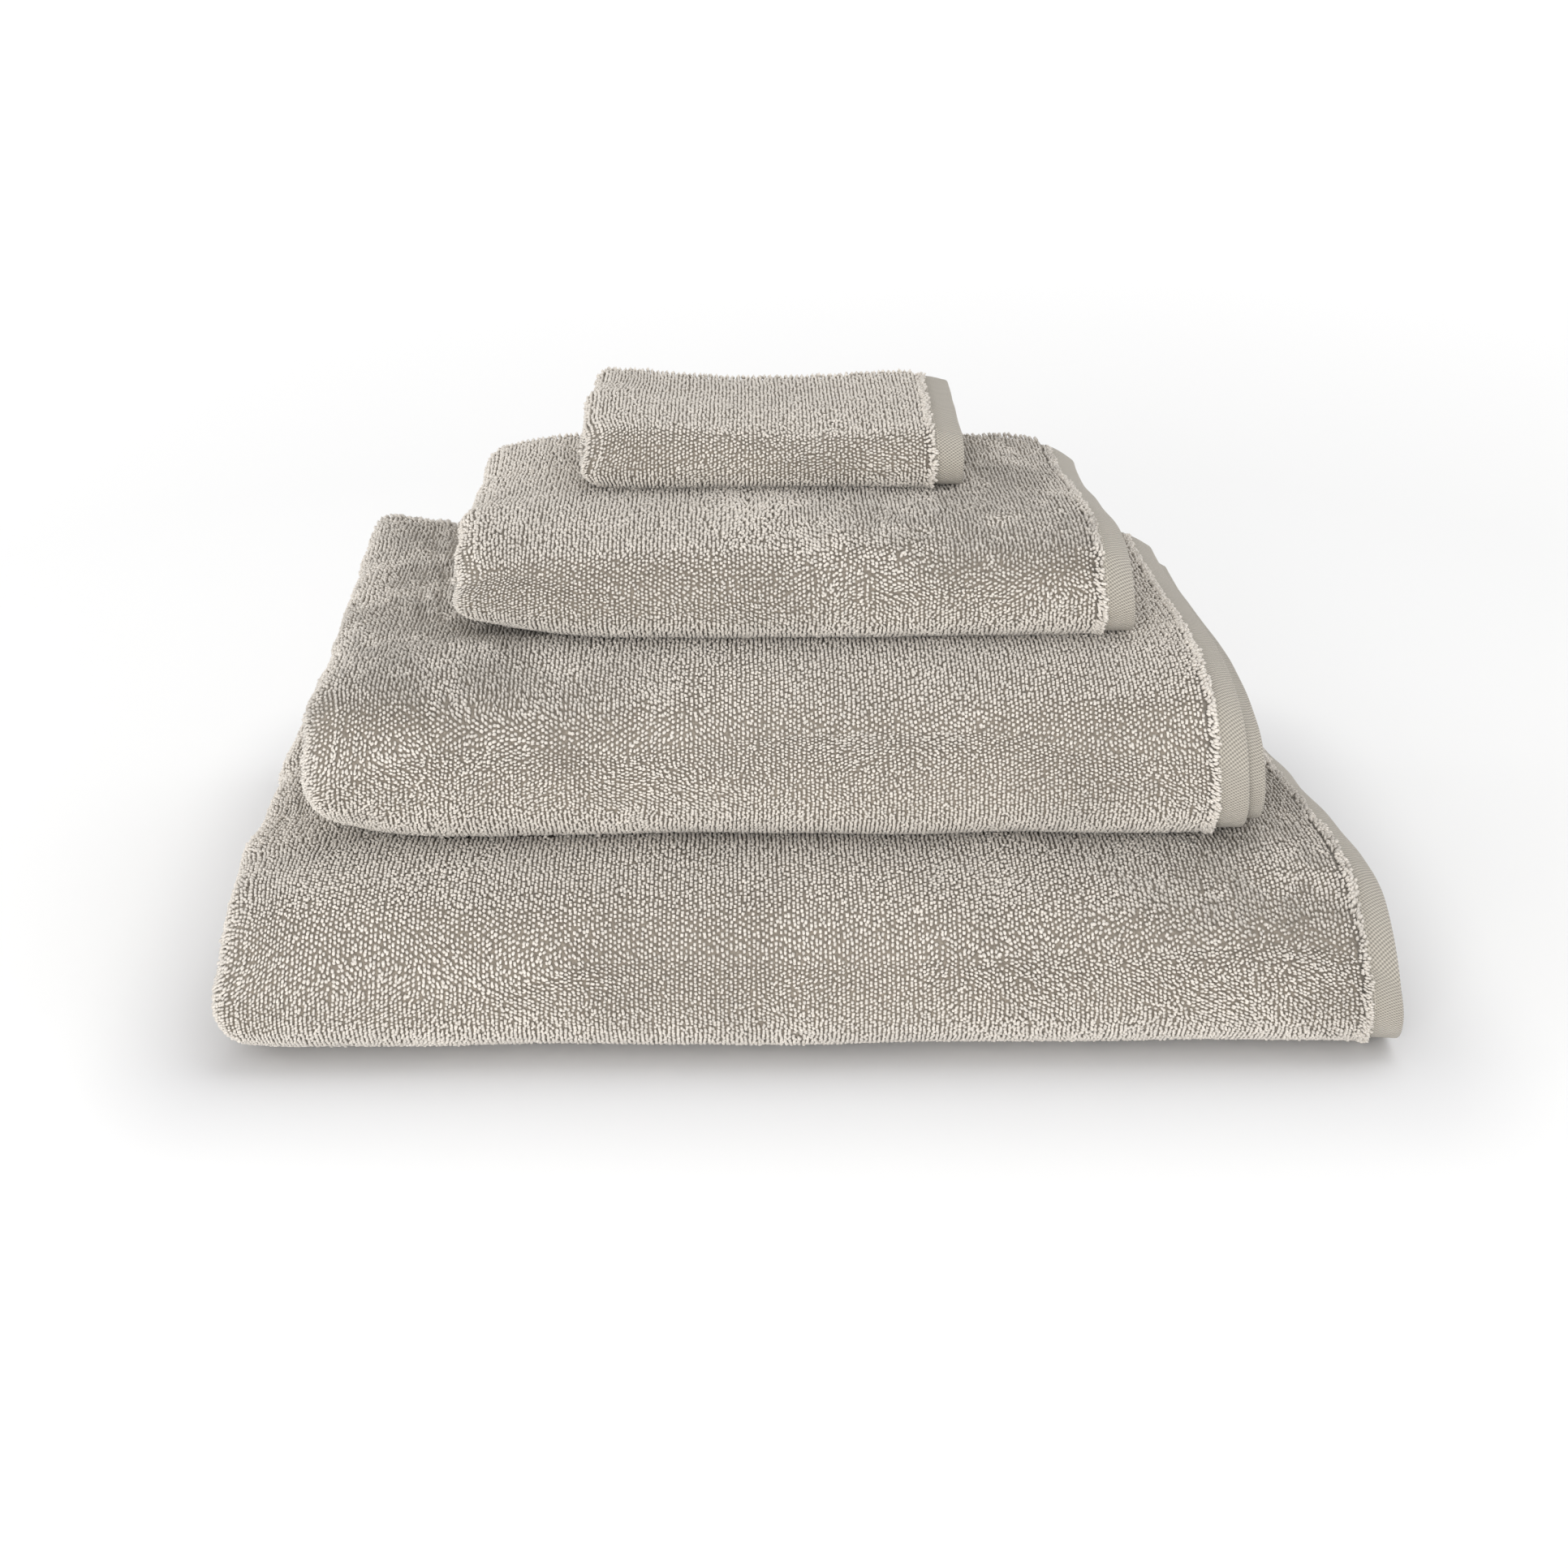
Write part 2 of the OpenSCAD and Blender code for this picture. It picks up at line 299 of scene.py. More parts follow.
        return y, z + self.base, in_y, in_z, to_y, to_z

    def flap_reach(self, depth):
        """How much further each layer of the middle flap goes, to fill the round front fold."""
        inner = self.front_r - self.panel
        off_centre = np.abs(depth - self.panel / 2) + self.cloth / 2
        room = np.sqrt(np.maximum(inner ** 2 - off_centre ** 2, 0))
        return self.flap_edge - self.front_y + room - FLAP_CLEARANCE

    def place(self, u, s, lift):
        """Points on the cloth, `lift` from the middle of its thickness towards its outer side,
        with the outward normal and the directions of u and s."""
        x, d, nx, nd, tx, td = self.along_length(u)
        stretched = smooth_step(self.s_flap - FLAP_STRETCH, self.s_flap, s)
        s = s + self.flap_reach(d) * stretched
        x = x + nx * lift
        d = d + nd * lift
        y, z, in_y, in_z, to_y, to_z = self.along_width(s, d)
        point = np.stack([x, y, z], -1)
        normal = np.stack([nx + 0 * y, nd * in_y, nd * in_z], -1)
        along_u = np.stack([tx + 0 * y, td * in_y, td * in_z], -1)
        along_s = np.stack([0 * y, to_y, to_z], -1)
        return point, normal, along_u, along_s


# ---------------------------------------------------------------- how the cloth settles

def over(towel, x, y, soft):
    """1 inside a towel's outline seen from above, 0 outside it, with a soft edge."""
    inside = smooth_step(towel.left - soft / 2, towel.left + soft, x)
    inside = inside * (1 - smooth_step(towel.outer_end - soft, towel.outer_end + soft / 2, x))
    inside = inside * smooth_step(towel.front + 4, towel.front + 1.4 * soft, y)
    return inside * (1 - smooth_step(towel.back - soft, towel.back, y))


# Lumps of the tops, of the front and back folds, of the closed left ends, and of the right ends
TOP_LUMPS = [(75, 1.5, 11, 1), (38, 0.9, 21, 1)]
FOLD_LUMPS = [(46, 1.1, 31, 10), (95, 0.9, 32, 10)]
LEFT_LUMPS = [(34, 2.4, 33, 10), (15, 1.6, 34, 10)]
RIGHT_LUMPS = [(26, 0.9, 36, 10)]
BROW_LUMPS = [(60, 12, 61, 1)]
PUCKER_DRIFT = [(30, 2.2, 81, 1)]
# A top stands this much above its even height, or sinks this much under the towel above
LOOSE_RISE = 1.2
PRESSED_SINK = 1.2
# Over how long a stretch one turns into the other
COVER_SOFTNESS = 22
# How far the top of each towel sinks at its back right, back left, front left and front right
# corners, and over how long a stretch of the fold
CORNER_DROPS = [
    (17.0, 2.0, 4.0, 4.0, 62.0),
    (8.0, -8.0, 5.0, 3.0, 46.0),
    (9.0, 6.0, 3.0, 4.0, 34.0),
    (2.0, 1.0, 2.0, 1.5, 22.0),
]
# How far the top of each towel has sloped down where its front starts to turn under, where on
# the top that slope starts, and over how long a stretch
BROW_DROP = [9.0, 9.5, 7.0, 4.0]
BROW_START = 40
BROW_LENGTH = 42
# Height of the small puckers beside the left end of the towel above, how far left of it they
# are, and how wide their strip is
PUCKER = [0.35, 0.8, 0.3]
PUCKER_OFFSET = 11
PUCKER_WIDTH = 12
# How far the last few millimetres of the right end bend down, and how many those are
END_DROP = [5.0, 3.5, 3.5, 2.0]
END_LENGTH = 17
# How far each towel's right end is drawn in at the back, and how far from it that starts
RIGHT_DRAW = [16.0, 4.0, 4.0, 0.5]
RIGHT_DRAW_LENGTH = 150
# How far the middle of the face cloth's top sinks between its two ends
FACE_CLOTH_SAG = 3.2
# How far the lower front corner of each towel's left fold lifts off what it lies on, and over
# how long a stretch
LEFT_LIFT = [(3.0, 38.0), (9.0, 50.0), (7.0, 80.0), (2.0, 30.0)]
# How much the closed left end grows all over, and how much further its top and bottom edges
# grow at the front
LEFT_GROWTH = 1.3
LEFT_CORNER_GROWTH = 3.0


def corner_shares(towel, x, y, reach):
    """How close a place is to the back right, back left, front left and front right corners."""
    right = np.clip((x - towel.outer_end + reach) / reach, 0, 1.2) ** 1.7
    left = np.clip((towel.left + reach - x) / reach, 0, 1.2) ** 1.7
    depth = towel.back - towel.front
    to_back = smooth_step(towel.front + 0.25 * depth, towel.back - 0.1 * depth, y)
    return right * to_back, left * to_back, left * (1 - to_back), right * (1 - to_back)


def top_rise(number, x, y):
    """How far the top of a towel stands above its even height."""
    towel = towels[number]
    above = towels[number + 1] if number < 3 else None
    covered = over(above, x, y, COVER_SOFTNESS) if above else 0 * x
    rise = lumpy(x, y, TOP_LUMPS, towel) * (1 - 0.6 * covered)
    rise = rise - PRESSED_SINK * covered + LOOSE_RISE * (1 - covered)
    brow_start = towel.front_y + BROW_START + lumpy(x, 0 * x, BROW_LUMPS, towel)
    brow = np.clip((brow_start - y) / BROW_LENGTH, 0, 1.35)
    rise = rise - BROW_DROP[number] * brow ** 2 * (1 - covered)
    if above:
        near = np.exp(-(((x - above.left + PUCKER_OFFSET) / PUCKER_WIDTH) ** 2))
        near = near * smooth_step(above.front + 14, above.front + 50, y)
        phase = 0.72 * x + 0.10 * y + lumpy(x, y, PUCKER_DRIFT, towel)
        rise = rise + PUCKER[number] * near * np.sin(phase)
    *drops, reach = CORNER_DROPS[number]
    for drop, share in zip(drops, corner_shares(towel, x, y, reach)):
        rise = rise - drop * share
    at_end = np.clip((x - towel.outer_end + END_LENGTH) / END_LENGTH, 0, 1.3)
    rise = rise - END_DROP[number] * at_end ** 2
    if not above:
        middle = (towel.left + towel.outer_end) / 2
        half = (towel.outer_end - towel.left) / 2
        off_middle = np.clip(np.abs(x - middle) / half, 0, 1)
        rise = rise - FACE_CLOTH_SAG * (1 - off_middle ** 2)
    return rise


def shift_up(towel, x, y, height):
    """The bottom follows what it lies on, the top sinks or stands as top_rise says, and the
    layers between share the difference by their height in the towel."""
    below = top_rise(towel.number - 1, x, y) if towel.number else 0 * x
    above = top_rise(towel.number, x, y)
    most, reach = LEFT_LIFT[towel.number]
    lift = most * np.clip((towel.left + reach - x) / reach, 0, 1.1) ** 2.2
    lift = lift * (1 - smooth_step(towel.front_y - 8, towel.front_y + 40, y))
    return (below + lift) * (1 - height) + above * height


def shift_back(towel, x, y, z, at_front):
    """The front and back folds bulge unevenly."""
    at_back = smooth_step(towel.back_y - 12, towel.back - 4, y)
    bulge = lumpy(x, z, FOLD_LUMPS, towel)
    return at_front * bulge - at_back * bulge * 0.8


def shift_right(towel, x, y, z, height, at_front):
    """The closed left end grows, and the right end waves a little and is drawn in at the back."""
    at_left = 1 - smooth_step(towel.left + 4, towel.left + 34, x)
    shift = (lumpy(y, z, LEFT_LUMPS, towel) + LEFT_GROWTH) * at_left
    draw = smooth_step(towel.outer_end - RIGHT_DRAW_LENGTH, towel.outer_end, x)
    depth = towel.back - towel.front
    draw = draw * smooth_step(towel.front + 0.1 * depth, towel.back, y)
    shift = shift - RIGHT_DRAW[towel.number] * draw
    at_right = smooth_step(towel.outer_end - 32, towel.outer_end - 6, x)
    shift = shift + at_right * (lumpy(y, z, RIGHT_LUMPS, towel) - 0.3)
    from_middle = 1 - 4 * height * (1 - height)
    return shift + at_left * LEFT_CORNER_GROWTH * from_middle * at_front


def settle(towel, points):
    """Moves points of a towel's even folded shape to where the soft cloth comes to rest."""
    x, y, z = points[..., 0], points[..., 1], points[..., 2]
    height = np.clip((z - towel.base) / towel.thickness, 0, 1)
    at_front = 1 - smooth_step(towel.front + 5, towel.front_y + 12, y)
    settled_x = x + shift_right(towel, x, y, z, height, at_front)
    settled_y = y + shift_back(towel, x, y, z, at_front)
    settled_z = z + shift_up(towel, x, y, height)
    return np.stack([settled_x, settled_y, settled_z], -1)


# ---------------------------------------------------------------- meshes

def make_mesh(name, points, faces, uv=None, attributes=None):
    """A mesh object from arrays. Faces are all triangles or all quads, and uv is one per corner."""
    corners = faces.shape[1]
    mesh = bpy.data.meshes.new(name)
    mesh.vertices.add(len(points))
    mesh.vertices.foreach_set("co", (points * MM).astype(np.float32).ravel())
    mesh.loops.add(faces.size)
    mesh.loops.foreach_set("vertex_index", faces.astype(np.int32).ravel())
    mesh.polygons.add(len(faces))
    starts = np.arange(len(faces), dtype=np.int32) * corners
    mesh.polygons.foreach_set("loop_start", starts)
    mesh.polygons.foreach_set("use_smooth", np.full(len(faces), True))
    if uv is not None:
        layer = mesh.uv_layers.new(name="cloth")
        layer.data.foreach_set("uv", uv.astype(np.float32).ravel())
    for key, values in (attributes or {}).items():
        attribute = mesh.attributes.new(key, "FLOAT", "POINT")
        attribute.data.foreach_set("value", values.astype(np.float32).ravel())
    mesh.update(calc_edges=True)
    mesh.validate()
    made = bpy.data.objects.new(name, mesh)
    bpy.context.scene.collection.objects.link(made)
    return made


def outward(points, faces):
    """The faces, turned over if they enclose their volume inside out."""
    a, b, c = points[faces[:, 0]], points[faces[:, 1]], points[faces[:, 2]]
    volume = np.einsum("ij,ij->i", a, np.cross(b, c)).sum()
    if faces.shape[1] == 4:
        d = points[faces[:, 3]]
        volume += np.einsum("ij,ij->i", a, np.cross(c, d)).sum()
    return faces if volume > 0 else faces[:, ::-1]


# Radius of the rounded corners of the end borders
CORNER_ROUND = 4.0


def cloth_piece(name, towel, ring_u, ring_lift, s_values, s_lift, ring_start=None):
    """A closed piece of cloth. The ring of (u, lift) places goes round its edge-on outline, and
    is carried along the s values. s_lift thins the cloth at each of them. A ring_start is the u
    that a border is sewn on at: its two far corners are then rounded."""
    count = len(ring_u)
    rows = len(s_values)
    u = np.broadcast_to(ring_u, (rows, count))
    if ring_start is not None:
        from_end = np.minimum(s_values - s_values[0], s_values[-1] - s_values)
        missing = CORNER_ROUND - np.clip(from_end, 0, CORNER_ROUND)
        cut = CORNER_ROUND - np.sqrt(np.maximum(CORNER_ROUND ** 2 - missing ** 2, 0))
        share = 1 - cut / np.ptp(ring_u)
        u = ring_start + (u - ring_start) * share[:, None]
    s = np.broadcast_to(s_values[:, None], (rows, count))
    lift = ring_lift[None, :] * s_lift[:, None]
    points = settle(towel, towel.place(u.ravel(), s.ravel(), lift.ravel())[0])
    index = np.arange(rows * count).reshape(rows, count)
    after = np.roll(index, -1, axis=1)
    quads = np.stack([index[:-1], after[:-1], after[1:], index[1:]], -1).reshape(-1, 4)
    half = count // 2
    caps = []
    for row in (index[0], index[-1]):
        one = row[:half]
        other = row[::-1][:half]
        strip = np.stack([one[:-1], one[1:], other[1:], other[:-1]], -1)
        caps.append(strip if row[0] == index[0][0] else strip[:, ::-1])
    faces = outward(points, np.concatenate([quads] + caps))
    uv_points = np.stack([u.ravel(), s.ravel()], -1) * MM
    return make_mesh(name, points, faces, uv=uv_points[faces.ravel()])


# How far a side hem lies under its layer's own faces
SIDE_HEM_SINK = 0.30
# Half thickness of an end border as a share of its hem's, at places from the terry on: it is
# drawn in under the stitches. Then the same at places back from its far edge, which is round.
STITCHED_SHARE = 0.86
BORDER_PROFILE = [(0.0, 1.0), (1.2, 0.98), (1.9, STITCHED_SHARE), (2.4, STITCHED_SHARE),
                  (3.2, 1.0), (5.5, 1.04), (8.0, 1.0), (10.5, 0.97)]
BORDER_EDGE = [(1.2, 1.02), (0.5, 0.9), (0.12, 0.6), (0.0, 0.3)]
# A free edge is rounded: places in from it as shares of the rounding's radius, and the share
# of the thickness there
FREE_EDGE = [(0.0, 0.35), (0.12, 0.62), (0.45, 0.9)]


def closed_ring(u_values, outer_lift, inner_lift):
    """Goes along the outer side and comes back along the inner one."""
    ring_u = np.concatenate([u_values, u_values[::-1]])
    ring_lift = np.concatenate([outer_lift, -inner_lift[::-1]])
    return ring_u, ring_lift


def spaced(start, end, step):
    """Even places from start to end, no further apart than a step."""
    count = max(2, int(math.ceil(abs(end - start) / step)) + 1)
    return np.linspace(start, end, count)


def length_samples(towel, fine, coarse, turn_step):
    """Places along u: close together on the outer layer, and further apart inside."""
    parts = []
    for number, stretch in enumerate(towel.stretches):
        step = turn_step
        if stretch.kind == "straight":
            step = fine if number == 0 else coarse
        parts.append(spaced(stretch.start, stretch.end, step)[:-1])
    parts.append(np.array([towel.u_end]))
    return np.concatenate(parts)


def width_samples(towel, start, end, fine, coarse, turn_step):
    """Places along s: close together on the top and round the folds, further apart elsewhere."""
    edges = [0.0, towel.s_lower, towel.s_front, towel.s_upper, towel.s_back, towel.s_flap]
    steps = [coarse, turn_step, fine, turn_step, coarse]
    parts = []
    for low, high, step in zip(edges[:-1], edges[1:], steps):
        low, high = max(low, start), min(high, end)
        if high > low:
            parts.append(spaced(low, high, step)[:-1])
    parts.append(np.array([end]))
    return np.concatenate(parts)


def rounded_rows(s_values, radius, at_start, at_end):
    """Adds rows near the free edges, where the cloth thins to a rounded edge."""
    start, end = s_values[0], s_values[-1]
    rows = [(s, 1.0) for s in s_values]
    if at_start:
        head = [(start + radius * k, share) for k, share in FREE_EDGE]
        rows = head + [row for row in rows if row[0] > start + radius]
    if at_end:
        tail = [(end - radius * k, share) for k, share in reversed(FREE_EDGE)]
        rows = [row for row in rows if row[0] < end - radius] + tail
    places, shares = zip(*rows)
    return np.array(places), np.array(shares)


def add_terry(towel):
    """The looped cloth itself, between its hems. Where loops are set on it as separate pieces,
    it is thinner by their depth."""
    u = length_samples(towel, fine=8.0, coarse=19.0, turn_step=3.2)
    start = towel.side_hem_w
    end = towel.s_flap - start
    s = width_samples(towel, start, end, fine=8.0, coarse=19.0, turn_step=3.8)
    s, thin = rounded_rows(s, radius=2.0, at_start=True, at_end=True)
    half = towel.cloth / 2
    bare = np.zeros_like(u)
    for number, stretch in enumerate(towel.stretches):
        if number < 2 or stretch.kind == "right_turn":
            inside = (u >= stretch.start - TINY) & (u <= stretch.end + TINY)
            bare[inside] = PILE_DEPTH - SKIN
    ring_u, ring_lift = closed_ring(u, half - SKIN - bare, np.full(len(u), half - SKIN))
    return cloth_piece(towel.name + "_terry_cloth", towel, ring_u, ring_lift, s, thin)


def add_side_hem(towel, end):
    """The turned hem along a long side: the lower one lies free, the inner one in the fold."""
    u = length_samples(towel, fine=9.0, coarse=14.0, turn_step=2.6)
    lower = end == "lower"
    start = 0 if lower else towel.s_flap - towel.side_hem_w
    finish = towel.side_hem_w if lower else towel.s_flap
    s = np.linspace(start, finish, 8)
    s, thin = rounded_rows(s, radius=2.2, at_start=lower, at_end=not lower)
    lift = np.full(len(u), towel.cloth / 2 - SIDE_HEM_SINK)
    ring_u, ring_lift = closed_ring(u, lift, lift)
    return cloth_piece(f"{towel.name}_{end}_side_hem_cloth", towel, ring_u, ring_lift, s, thin)


def add_end_border(towel, end):
    """The flat-woven end border. It runs on from the terry's end, so u is below 0 at the outer
    end and past the last u at the inner end."""
    width = towel.border_w
    half = towel.hem_cloth / 2
    near = [place for place, _ in BORDER_PROFILE]
    across = np.array(near + [width - place for place, _ in BORDER_EDGE])
    lift = half * np.array([share for _, share in BORDER_PROFILE + BORDER_EDGE])
    start, way = (0.0, -1) if end == "outer" else (towel.u_end, 1)
    ring_u, ring_lift = closed_ring(start + way * across, lift, lift)
    s = width_samples(towel, 0.0, towel.s_flap, fine=4.0, coarse=4.0, turn_step=2.4)
    s, thin = rounded_rows(s, radius=1.2, at_start=True, at_end=True)
    name = f"{towel.name}_{end}_border_cloth"
    return cloth_piece(name, towel, ring_u, ring_lift, s, thin, start)


# ---------------------------------------------------------------- pile loops

# One loop: the thickness and length of its yarn in the fine pile, how much longer it is where
# the pile is ruffled and where loops are set wider apart, and how deep its root is sunk
LOOP_GIRTH = 0.68
LOOP_LENGTH = 2.10
RUFFLED_LENGTH = 0.45
WIDER_LENGTH = 1.9
ROOT_SINK = 0.35
# A loop's three stretches, from root to tip: their shares of its length, and their lean
LOOP_SHARES = [0.40, 0.38, 0.22]
LOOP_LEANS = [0.32, 0.95, 1.75]
# Sides of a loop that can be seen close by, and of one on the back or under the next towel
FINE_SIDES = 4
PLAIN_SIDES = 3
# How far loops stray from their columns and rows, as shares of the pitch
GRID_JITTER = (0.10, 0.13)

# No loop of the lowest towel goes further down than this above the floor
FLOOR_CLEARANCE = 0.25

# Random fields of the pile
RUFFLE_LUMPS = [(42, 0.55, 91, 10), (17, 0.35, 92, 10)]
RUFFLE_DRIFT = [(34, 16, 93, 10)]
SWIRL_LUMPS = [(12, 1.0, 51, 10), (27, 0.9, 52, 10)]
BROAD_LEAN = [(70, 0.4, 53, 10)]
NAP_LUMPS = [(24, 1.0, 54, 10), (6, 0.7, 55, 10)]
UPRIGHT_LUMPS = [(46, 1.0, 131, 1), (19, 0.6, 141, 0)]
FRINGE_LUMPS = [(7, 1.0, 171, 1), (3, 0.7, 181, 0)]
COVER_LUMPS = [(16, 7, 191, 0), (5, 5, 192, 0)]


def grain_faces(sides):
    """Triangles of one loop: a root, two rings and a tip."""
    tip = 1 + 2 * sides
    faces = []
    for k in range(sides):
        a, b = 1 + k, 1 + (k + 1) % sides
        c, d = a + sides, b + sides
        faces += [(0, b, a), (a, b, d), (a, d, c), (c, d, tip)]
    return np.array(faces)


def grain_points(root, normal, lean, girth, length, bend, sides):
    """Points of many loops. Each stands on its root, bends over towards its lean direction and
    lies on its neighbour, so that its rounded back shows."""
    cross = np.cross(normal, lean)
    # Four sides lie flat on top, and three have an edge there
    first = 0.5 if sides == FINE_SIDES else 0.75
    centres = [root]
    ways = []
    for share, turn in zip(LOOP_SHARES, LOOP_LEANS):
        angle = (turn * bend)[:, None]
        way = normal * np.cos(angle) + lean * np.sin(angle)
        centres.append(centres[-1] + way * (length * share)[:, None])
        ways.append(way)
    points = [centres[0]]
    for ring, size in ((1, 0.92), (2, 1.0)):
        way = ways[ring - 1] + ways[ring]
        way /= np.linalg.norm(way, axis=1)[:, None]
        up = np.cross(way, cross)
        for k in range(sides):
            angle = 2 * math.pi * (k + first) / sides
            reach = cross * math.cos(angle) + up * math.sin(angle)
            points.append(centres[ring] + reach * (girth * size)[:, None])
    points.append(centres[3])
    return np.stack(points, 1)


def brick_grid(u_low, u_high, s_low, s_high, pitch, random):
    """Columns of loops along s. Every second column is half a loop further on."""
    columns = np.arange(u_low + pitch[0] / 2, u_high, pitch[0])
    rows = np.arange(s_low + pitch[1] / 2, s_high, pitch[1])
    u, s = np.meshgrid(columns, rows, indexing="ij")
    s = s + (np.arange(len(columns)) % 2)[:, None] * pitch[1] / 2
    u = u.ravel() + random.normal(0, GRID_JITTER[0], u.size) * pitch[0]
    s = s.ravel() + random.normal(0, GRID_JITTER[1], s.size) * pitch[1]
    return u, s


# The ruffle of each front fades out between these places, counted along s from the end of the
# front fold
RUFFLE_FADE = [(-45, 30), (-42, 110), (10, 110), (-15, 50)]


def roughness(towel, u, s):
    """How ruffled the pile is, from 0 where it lies combed in neat columns to 1."""
    across = np.clip(u / towel.u_outer_layer, 0, 1)
    level = [
        0.30 + 0.55 * (1 - smooth_step(0.0, 0.55, across)),
        0.25 + 0.58 * smooth_step(0.35, 0.90, across),
        0.75,
        0.45,
    ][towel.number]
    start, end = RUFFLE_FADE[towel.number]
    drifted = s + lumpy(u, s, RUFFLE_DRIFT, towel)
    front = 1 - smooth_step(towel.s_front + start, towel.s_front + end, drifted)
    ruffled = (level + lumpy(u, s, RUFFLE_LUMPS, towel)) * (0.5 + 0.5 * front)
    return np.clip(ruffled, 0.08, 1.0)


# On part of each top but the face cloth's the nap lies the other way, and there it is painted
# darker as painted shade: the shares of the folded length, from the right end, where that starts
# and where it is full, and the angle that it turns through
NEVER = (2.0, 3.0)
NAP_TURN = [(0.34, 0.08), (0.50, 0.85), (0.62, 0.30), NEVER]
NAP_TURN_ANGLE = 2.5


def nap_turned(towel, u, s):
    """1 where the nap lies the other way, 0 where it doesn't, with patchy edges."""
    start, full = NAP_TURN[towel.number]
    turned = smooth_step(start, full, u / towel.u_outer_layer)
    turned = turned * smooth_step(-0.9, 0.6, lumpy(u, s, NAP_LUMPS, towel))
    return turned * smooth_step(towel.s_front - 22, towel.s_front - 2, s)


def lean_angle(towel, u, s, rough, random):
    """Which way each loop leans, as an angle from the downward direction of the front."""
    angle = lumpy(u, s, SWIRL_LUMPS, towel) * (0.15 + rough) + lumpy(u, s, BROAD_LEAN, towel)
    angle = angle + NAP_TURN_ANGLE * nap_turned(towel, u, s)
    return angle + random.normal(0, 1, len(u)) * (0.12 + 0.26 * rough)


# One parting is tried for on every so many square millimetres, and kept where it is rough
AREA_OF_A_PARTING = 290


def partings(towel, random):
    """Places where the loops lean away from each other, so that the ground shows dark."""
    s_low = towel.s_lower + 8
    s_high = towel.s_front + 75
    count = int(towel.u_outer_layer * (s_high - s_low) / AREA_OF_A_PARTING)
    u = random.uniform(0, towel.u_outer_layer, count)
    s = random.uniform(s_low, s_high, count)
    radius = random.uniform(1.5, 5.0, count)
    kept = random.uniform(0, 1, count) < 1.25 * roughness(towel, u, s) ** 1.5
    return np.stack([u, s, radius], -1)[kept]


def part_loops(places, u, s, angle):
    """Turns the loops near each parting to point away from it."""
    push_u = np.zeros_like(u)
    push_s = np.zeros_like(s)
    for pu, ps, radius in places:
        near = np.flatnonzero((np.abs(u - pu) < 3 * radius) & (np.abs(s - ps) < 3 * radius))
        du, ds = u[near] - pu, s[near] - ps
        far = np.hypot(du, ds) + 0.3
        strength = np.exp(-((far / radius) ** 2)) * 1.5
        push_u[near] += strength * du / far
        push_s[near] += strength * ds / far
    along_u = np.sin(angle) + push_u
    along_s = -np.cos(angle) + push_s
    return along_u, along_s


def add_loops(towel, u, s, pitch, sides, random, places, fringe=0.0, ruffle=0.0):
    """Loops at places (u, s), as points and their attributes. `fringe` turns them towards the
    end border, and `ruffle` is the least roughness that they have."""
    sunk = towel.cloth / 2 - PILE_DEPTH - ROOT_SINK
    point, normal, along_u, along_s = towel.place(u, s, sunk)
    wave = random.normal(0, 1, (3, len(u)))
    rough = np.maximum(roughness(towel, u, s), ruffle)
    angle = lean_angle(towel, u, s, rough, random)
    lean_u, lean_s = part_loops(places, u, s, angle)
    lean = along_u * lean_u[:, None] + along_s * lean_s[:, None]
    if fringe:
        lean = lean * (1 - fringe) - along_u * fringe
    lean /= np.linalg.norm(lean, axis=1)[:, None]
    size = pitch[0] / FINE_PITCH[0]
    turned = nap_turned(towel, u, s)
    girth = LOOP_GIRTH * size * (1 + 0.08 * wave[0]) * (1 - 0.17 * turned)
    length = LOOP_LENGTH + RUFFLED_LENGTH * rough + WIDER_LENGTH * (size - 1)
    length = length * (1 + 0.10 * wave[1]) * (1 + 0.5 * fringe)
    on_top = smooth_step(towel.s_front - 35, towel.s_front + 6, s)
    upright = smooth_step(-0.1, 0.7, lumpy(u, s, UPRIGHT_LUMPS, towel) + 0.45 * on_top)
    upright = upright * (0.45 + 0.55 * rough)
    bend = 1.08 - 0.25 * rough - (0.38 + 0.2 * on_top) * upright + 0.13 * wave[2] - 0.2 * fringe
    bend = np.clip(bend, 0.35, 1.3)
    points = grain_points(point, normal, lean, girth, length, bend, sides)
    # Painted shade: loops that stand up or lie the other way are painted darker, and painted light
    # makes wide ones lighter against the deeper gaps between them; the rest is random tone.
    shade = random.uniform(0, 1, len(u)) - 0.7 * turned - 0.5 * upright
    shade = np.repeat(shade[:, None], points.shape[1], 1) + 0.75 * (size - 1)
    # tip runs from a loop's root to its tip; the first ring of a wide loop is painted lighter,
    # against the shade of its gaps
    tip = np.zeros_like(shade)
    tip[:, 1:1 + sides] = 0.55 if sides == FINE_SIDES else 0.7
    tip[:, 1 + sides:] = 1.0
    # Painted shade: loops whose nap lies the other way keep more of the dark root colour
    tip = tip * (1 - 0.38 * turned)[:, None]
    return points, shade, tip


def write_loops(towel, batches, sides, label):
    """Writes loops as separate closed grains, a limited number in a piece."""
    points, shade, tip = (np.concatenate(part) for part in zip(*batches))
    count, size = points.shape[:2]
    flat = settle(towel, points.reshape(-1, 3))
    if towel.number == 0:
        flat[:, 2] = np.maximum(flat[:, 2], FLOOR_CLEARANCE)
    points = flat.reshape(count, size, 3)
    pieces = []
    template = grain_faces(sides)
    number_of_pieces = int(math.ceil(count / LOOPS_IN_A_PIECE))
    for number, share in enumerate(np.array_split(np.arange(count), number_of_pieces)):
        block = points[share].reshape(-1, 3)
        offsets = (np.arange(len(share)) * size)[:, None, None]
        faces = (offsets + template[None]).reshape(-1, 3)
        values = {"shade": shade[share].ravel(), "tip": tip[share].ravel()}
        name = f"{towel.name}_{label}_{number + 1}"
        made = make_mesh(name, block, faces, attributes=values)
        made.data.materials.append(materials["pile"])
        pieces.append(made)
    return pieces


# The fine pile goes on this far under the edges of the towel above: at its left end, at its
# right end and at its front
UNDER_LEFT = 29
UNDER_RIGHT = 20
UNDER_FRONT = 28
